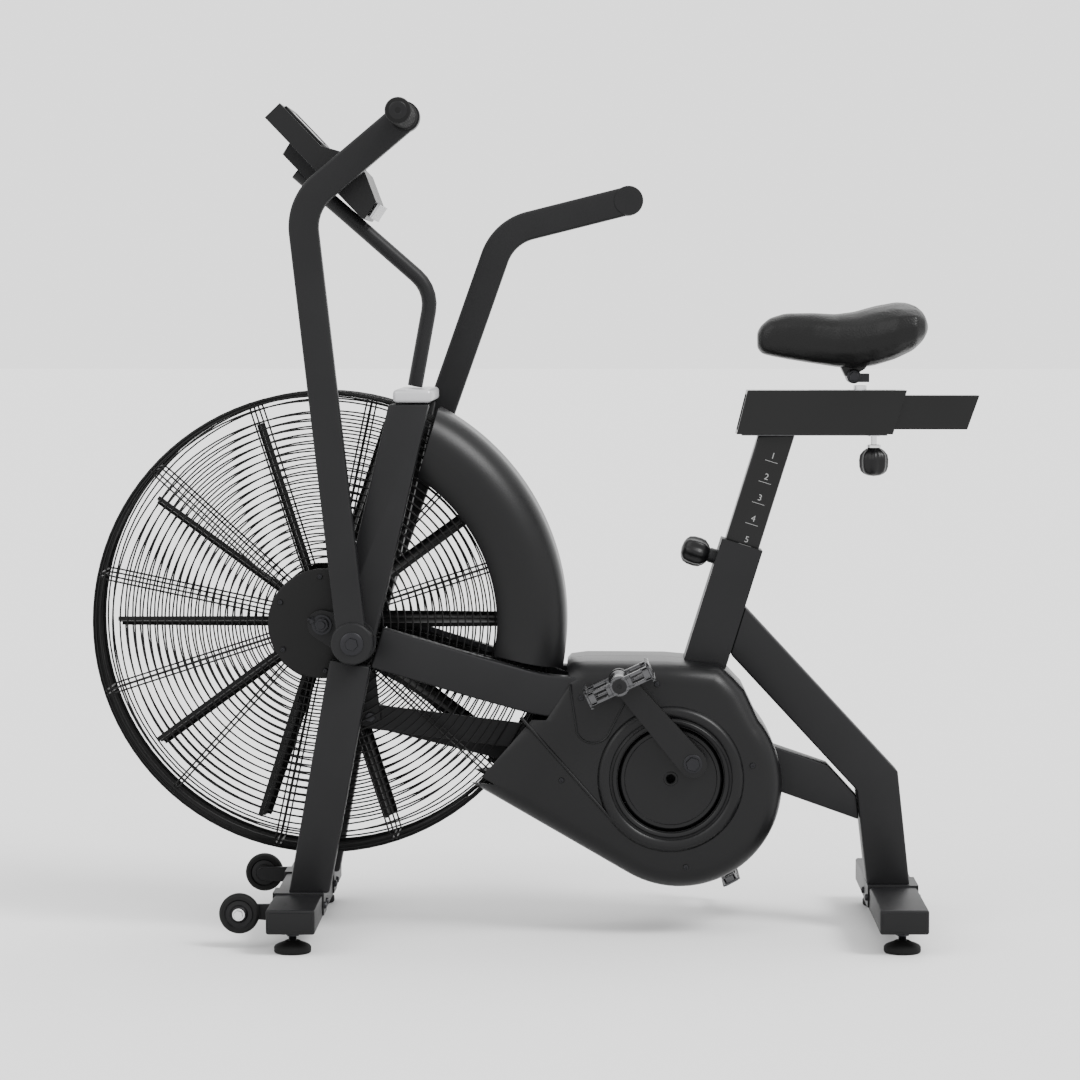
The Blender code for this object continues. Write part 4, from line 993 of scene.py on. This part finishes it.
def knobs():
    """The pin that locks the seat's height and the knob that clamps its slide, each with its shank."""
    height, radius = 0.0415, 0.0205
    axis = direction("height_pin_pull")
    low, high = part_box("height_knob")
    base = Vector((low.x + 0.0062, 0, high.z - 0.0185)) - axis * height
    bm = bmesh.new()
    flutes(bm, base, axis, height, radius)
    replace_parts(piece("height_knob_head", bm, "black_plastic", "seat_height_pin"), "height_knob")
    bm = bmesh.new()
    shank = [(0.0042, -0.018), (0.0042, 0), (0.0080, 0.0005), (0.0080, 0.003), (0, 0.003)]
    lathe(bm, shank, base, axis, sides=24)
    piece("height_pin_shank", bm, "chrome", "seat_height_pin")

    base = Vector((pivot("slide_clamp_turn").x, 0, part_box("slide_knob")[0].z + height))
    bm = bmesh.new()
    flutes(bm, base, -UP, height, radius)
    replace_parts(piece("slide_knob_head", bm, "black_plastic", "slide_clamp"), "slide_knob")
    bm = bmesh.new()
    screw = [(0.0044, 0), (0.0044, 0.017), (0.0095, 0.0172), (0.0095, 0.0190), (0, 0.0190)]
    lathe(bm, screw, base, UP, sides=24)
    lathe(bm, [(0.0080, -0.0005), (0.0105, 0.0005), (0.0105, 0.0042), (0.0080, 0.0052)], base, UP, sides=32)
    piece("slide_screw", bm, "chrome", "slide_clamp")


def seat_plate():
    """A thin plate under the rail, and a collar at the foot of the saddle's stem."""
    low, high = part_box("seat_rail")
    bm = bmesh.new()
    centre = Vector(((low.x + high.x) / 2 - 0.01, 0, low.z - 0.0011))
    slab(bm, centre, ((1, 0, 0), (0, 1, 0), UP), (high.x - low.x - 0.036, 0.050, 0.0018), 0.0005)
    piece("seat_rail_plate", bm, "silver_paint", "seat_mast", look=FINISH["pedal_alloy"])
    bm = bmesh.new()
    stem_low, stem_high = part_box("saddle_stem")
    x = (stem_low.x + stem_high.x) / 2
    profile = [(0.0155, 0), (0.0155, 0.0016), (0.0120, 0.0030), (0.0098, 0.0032), (0.0098, 0)]
    lathe(bm, profile, (x, 0, stem_low.z), UP, loop=True)
    piece("stem_collar", bm, "dark_steel", "seat_slider")


def clamp_hardware():
    low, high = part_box("saddle_clamp")
    centre = Vector((low.x + 0.0105, 0, high.z - 0.0105))
    bm = bmesh.new()
    for side in (-1, 1):
        start = centre + SIDEWAYS * side * 0.0210
        washer = [(0.0102, 0), (0.0102, 0.0014), (0.0085, 0.0026), (0, 0.0026)]
        lathe(bm, washer, start, SIDEWAYS * side, sides=32)
        hexagon(bm, start + SIDEWAYS * side * 0.002, SIDEWAYS * side, 0.0125, 0.0055)
    piece("saddle_clamp_nuts", bm, "dark_steel", "saddle_head")
    bm = bmesh.new()
    neck = [(-0.0120, 0.0), (-0.0240, 0.0240), (0.0300, 0.0300), (0.0160, 0.0105), (0.0080, 0.0060)]
    prism(bm, [(centre.x + x, centre.z + z) for x, z in neck], -0.0150, 0.0150, 0.002, 2)
    piece("saddle_neck", bm, "black_plastic", "saddle_head")


def saddle():
    """Foam under stretched vinyl: the plain solid is smoothed, then filled from inside as cloth."""
    mesh = frame["nodes"]["saddle"].data.copy()
    obj = placed("saddle_cover", mesh)
    modify(obj, "WELD", merge_threshold=0.0001)
    modify(obj, "REMESH", mode="VOXEL", voxel_size=0.0042)
    modify(obj, "SMOOTH", iterations=3)
    apply_modifiers(obj)
    rest = [vertex.co.copy() for vertex in obj.data.vertices]
    cloth = modify(obj, "CLOTH")
    cloth.settings.quality = 6
    cloth.settings.use_pressure = True
    cloth.settings.uniform_pressure_force = 4
    cloth.settings.effector_weights.gravity = 0
    cloth.point_cache.frame_start = 1
    cloth.point_cache.frame_end = 20
    for step in range(1, 21):
        bpy.context.scene.frame_set(step)
    apply_modifiers(obj)
    bpy.context.scene.frame_set(1)
    most = 0.0016
    for vertex, start in zip(obj.data.vertices, rest):
        moved = vertex.co - start
        if moved.length > most:
            vertex.co = start + moved.normalized() * most
    modify(obj, "SUBSURF", levels=1, render_levels=1)
    apply_modifiers(obj)
    obj.data.materials.clear()
    obj.data.materials.append(FINISH["saddle_leather"])
    obj.data.shade_smooth()
    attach(obj, "saddle_head")
    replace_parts(obj, "saddle")


def post_numbers():
    """Height marks on the post's side: a number and a line at each of five stops."""
    axis = direction("seat_height")
    low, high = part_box("seat_post")
    across = Vector((axis.z, 0, -axis.x))
    post_top = Vector((high.x - 0.0254 / axis.z, 0, high.z))
    sleeve = post_top - axis * 0.1687
    stops, spacing = 5, 0.032
    face = low.y - 0.0002
    bm = bmesh.new()
    for stop in range(1, stops + 1):
        spot = sleeve + axis * (0.009 + spacing * (stops - stop)) + across * 0.005
        line = spot - axis * 0.0085
        slab(bm, Vector((line.x, face, line.z)), (across, SIDEWAYS, axis), (0.019, 0.0003, 0.0007))
        text = bpy.data.curves.new(f"height_number_{stop}", "FONT")
        text.body = str(stop)
        text.size = 0.013
        text.extrude = 0.00015
        text.align_x = text.align_y = "CENTER"
        holder = placed(f"height_number_{stop}", text)
        bpy.context.view_layer.update()
        mesh = evaluated(holder)
        bpy.data.objects.remove(holder)
        basis = Matrix([across, axis, -SIDEWAYS]).transposed()
        for vertex in mesh.vertices:
            vertex.co = Vector((spot.x, face, spot.z)) + basis @ vertex.co
        mesh.materials.clear()
        mesh.materials.append(INK)
        number = placed(f"height_mark_{stop}", mesh)
        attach(number, "seat_mast")
    piece("height_lines", bm, "frame_paint", "seat_mast", look=INK)


# Console

def console_trim():
    """A bezel round the screen and a light strip across the housing's lower end."""
    out = -direction("start_button_press")
    down = Vector((out.z, 0, -out.x))
    low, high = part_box("console_screen")
    centre, half_wide, half_long = (low + high) / 2, (high.y - low.y) / 2, 0.033
    axes, bar = (down, SIDEWAYS, out), 0.005
    bm = bmesh.new()
    for end in (-1, 1):
        ahead, beside = down * end * (half_long + 0.002), SIDEWAYS * end * (half_wide + 0.0025)
        slab(bm, centre + ahead, axes, (bar, 2 * half_wide + 0.010, bar), 0.0012)
        slab(bm, centre + beside, axes, (2 * half_long + 0.009, bar, bar), 0.0012)
    piece("screen_bezel", bm, "black_plastic")
    low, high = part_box("console_housing")
    slope = (down * 0.0064 - out * 0.0288).normalized()
    spot = centre + down * 0.158 + out * 0.0015 + slope * 0.0125
    axes = (slope, SIDEWAYS, Vector((-slope.z, 0, slope.x)))
    bm = bmesh.new()
    slab(bm, spot, axes, (0.022, high.y - low.y - 0.004, 0.003), 0.0012)
    piece("console_end_strip", bm, "silver_paint", look=FINISH["silver_paint"])


# Set

def stage():
    """A pale floor under an even pale sky, with two soft lamps from above in front and one from behind."""
    half, cells, sky = 60.0, 12, 1.85
    bm = bmesh.new()
    bmesh.ops.create_grid(bm, x_segments=cells, y_segments=cells, size=half)
    mesh = baked("floor", bm)
    mesh.materials.append(finish("floor_look", grey(0.67), 0.85, grain=60, bump=0.0, mottle=0.01, shine=0.0))
    placed("floor", mesh)
    world = bpy.data.worlds.new("studio")
    bpy.context.scene.world = world
    world.use_nodes = True
    fill(world.node_tree.nodes["Background"], {"Color": (1, 1, 1, 1), "Strength": sky})
    lamps = (
        ("key", (1.8, -1.5, 2.4), 22, 3.4),
        ("fill", (-2.4, -2.0, 2.2), 40, 1.0),
        ("rim", (0.6, 2.2, 3.0), 40, 0.8),
    )
    for name, place, spread, strength in lamps:
        lamp = bpy.data.lights.new(name, "SUN")
        lamp.angle = math.radians(spread)
        lamp.energy = strength
        placed(name, lamp).rotation_euler = (-Vector(place)).to_track_quat("-Z", "Y").to_euler()


def camera():
    """Level with the saddle and square to the bike's left side, with a long lens."""
    lens = bpy.data.cameras.new("camera")
    lens.lens = 118.2
    lens.sensor_width = 36
    holder = placed("camera", lens)
    holder.location = (0.097, -5.2, 0.896)
    holder.rotation_euler = (math.radians(90 - 3.55), 0, math.radians(1.0))
    bpy.context.scene.camera = holder


dress_frame()
for half_name, half_side in SIDES.items():
    cage_half(half_name, half_side)
for step in (
    rim_hoop, cover, fan, chain, sprockets, housing_shells, housing_trim, disc_trim, crank_hardware, pedals,
    arms, frame_hardware, levelling_feet, transport_wheels, pivot_hardware, link_eyes, knobs, seat_plate,
    clamp_hardware, saddle, post_numbers, console_trim, stage, camera,
):
    step()
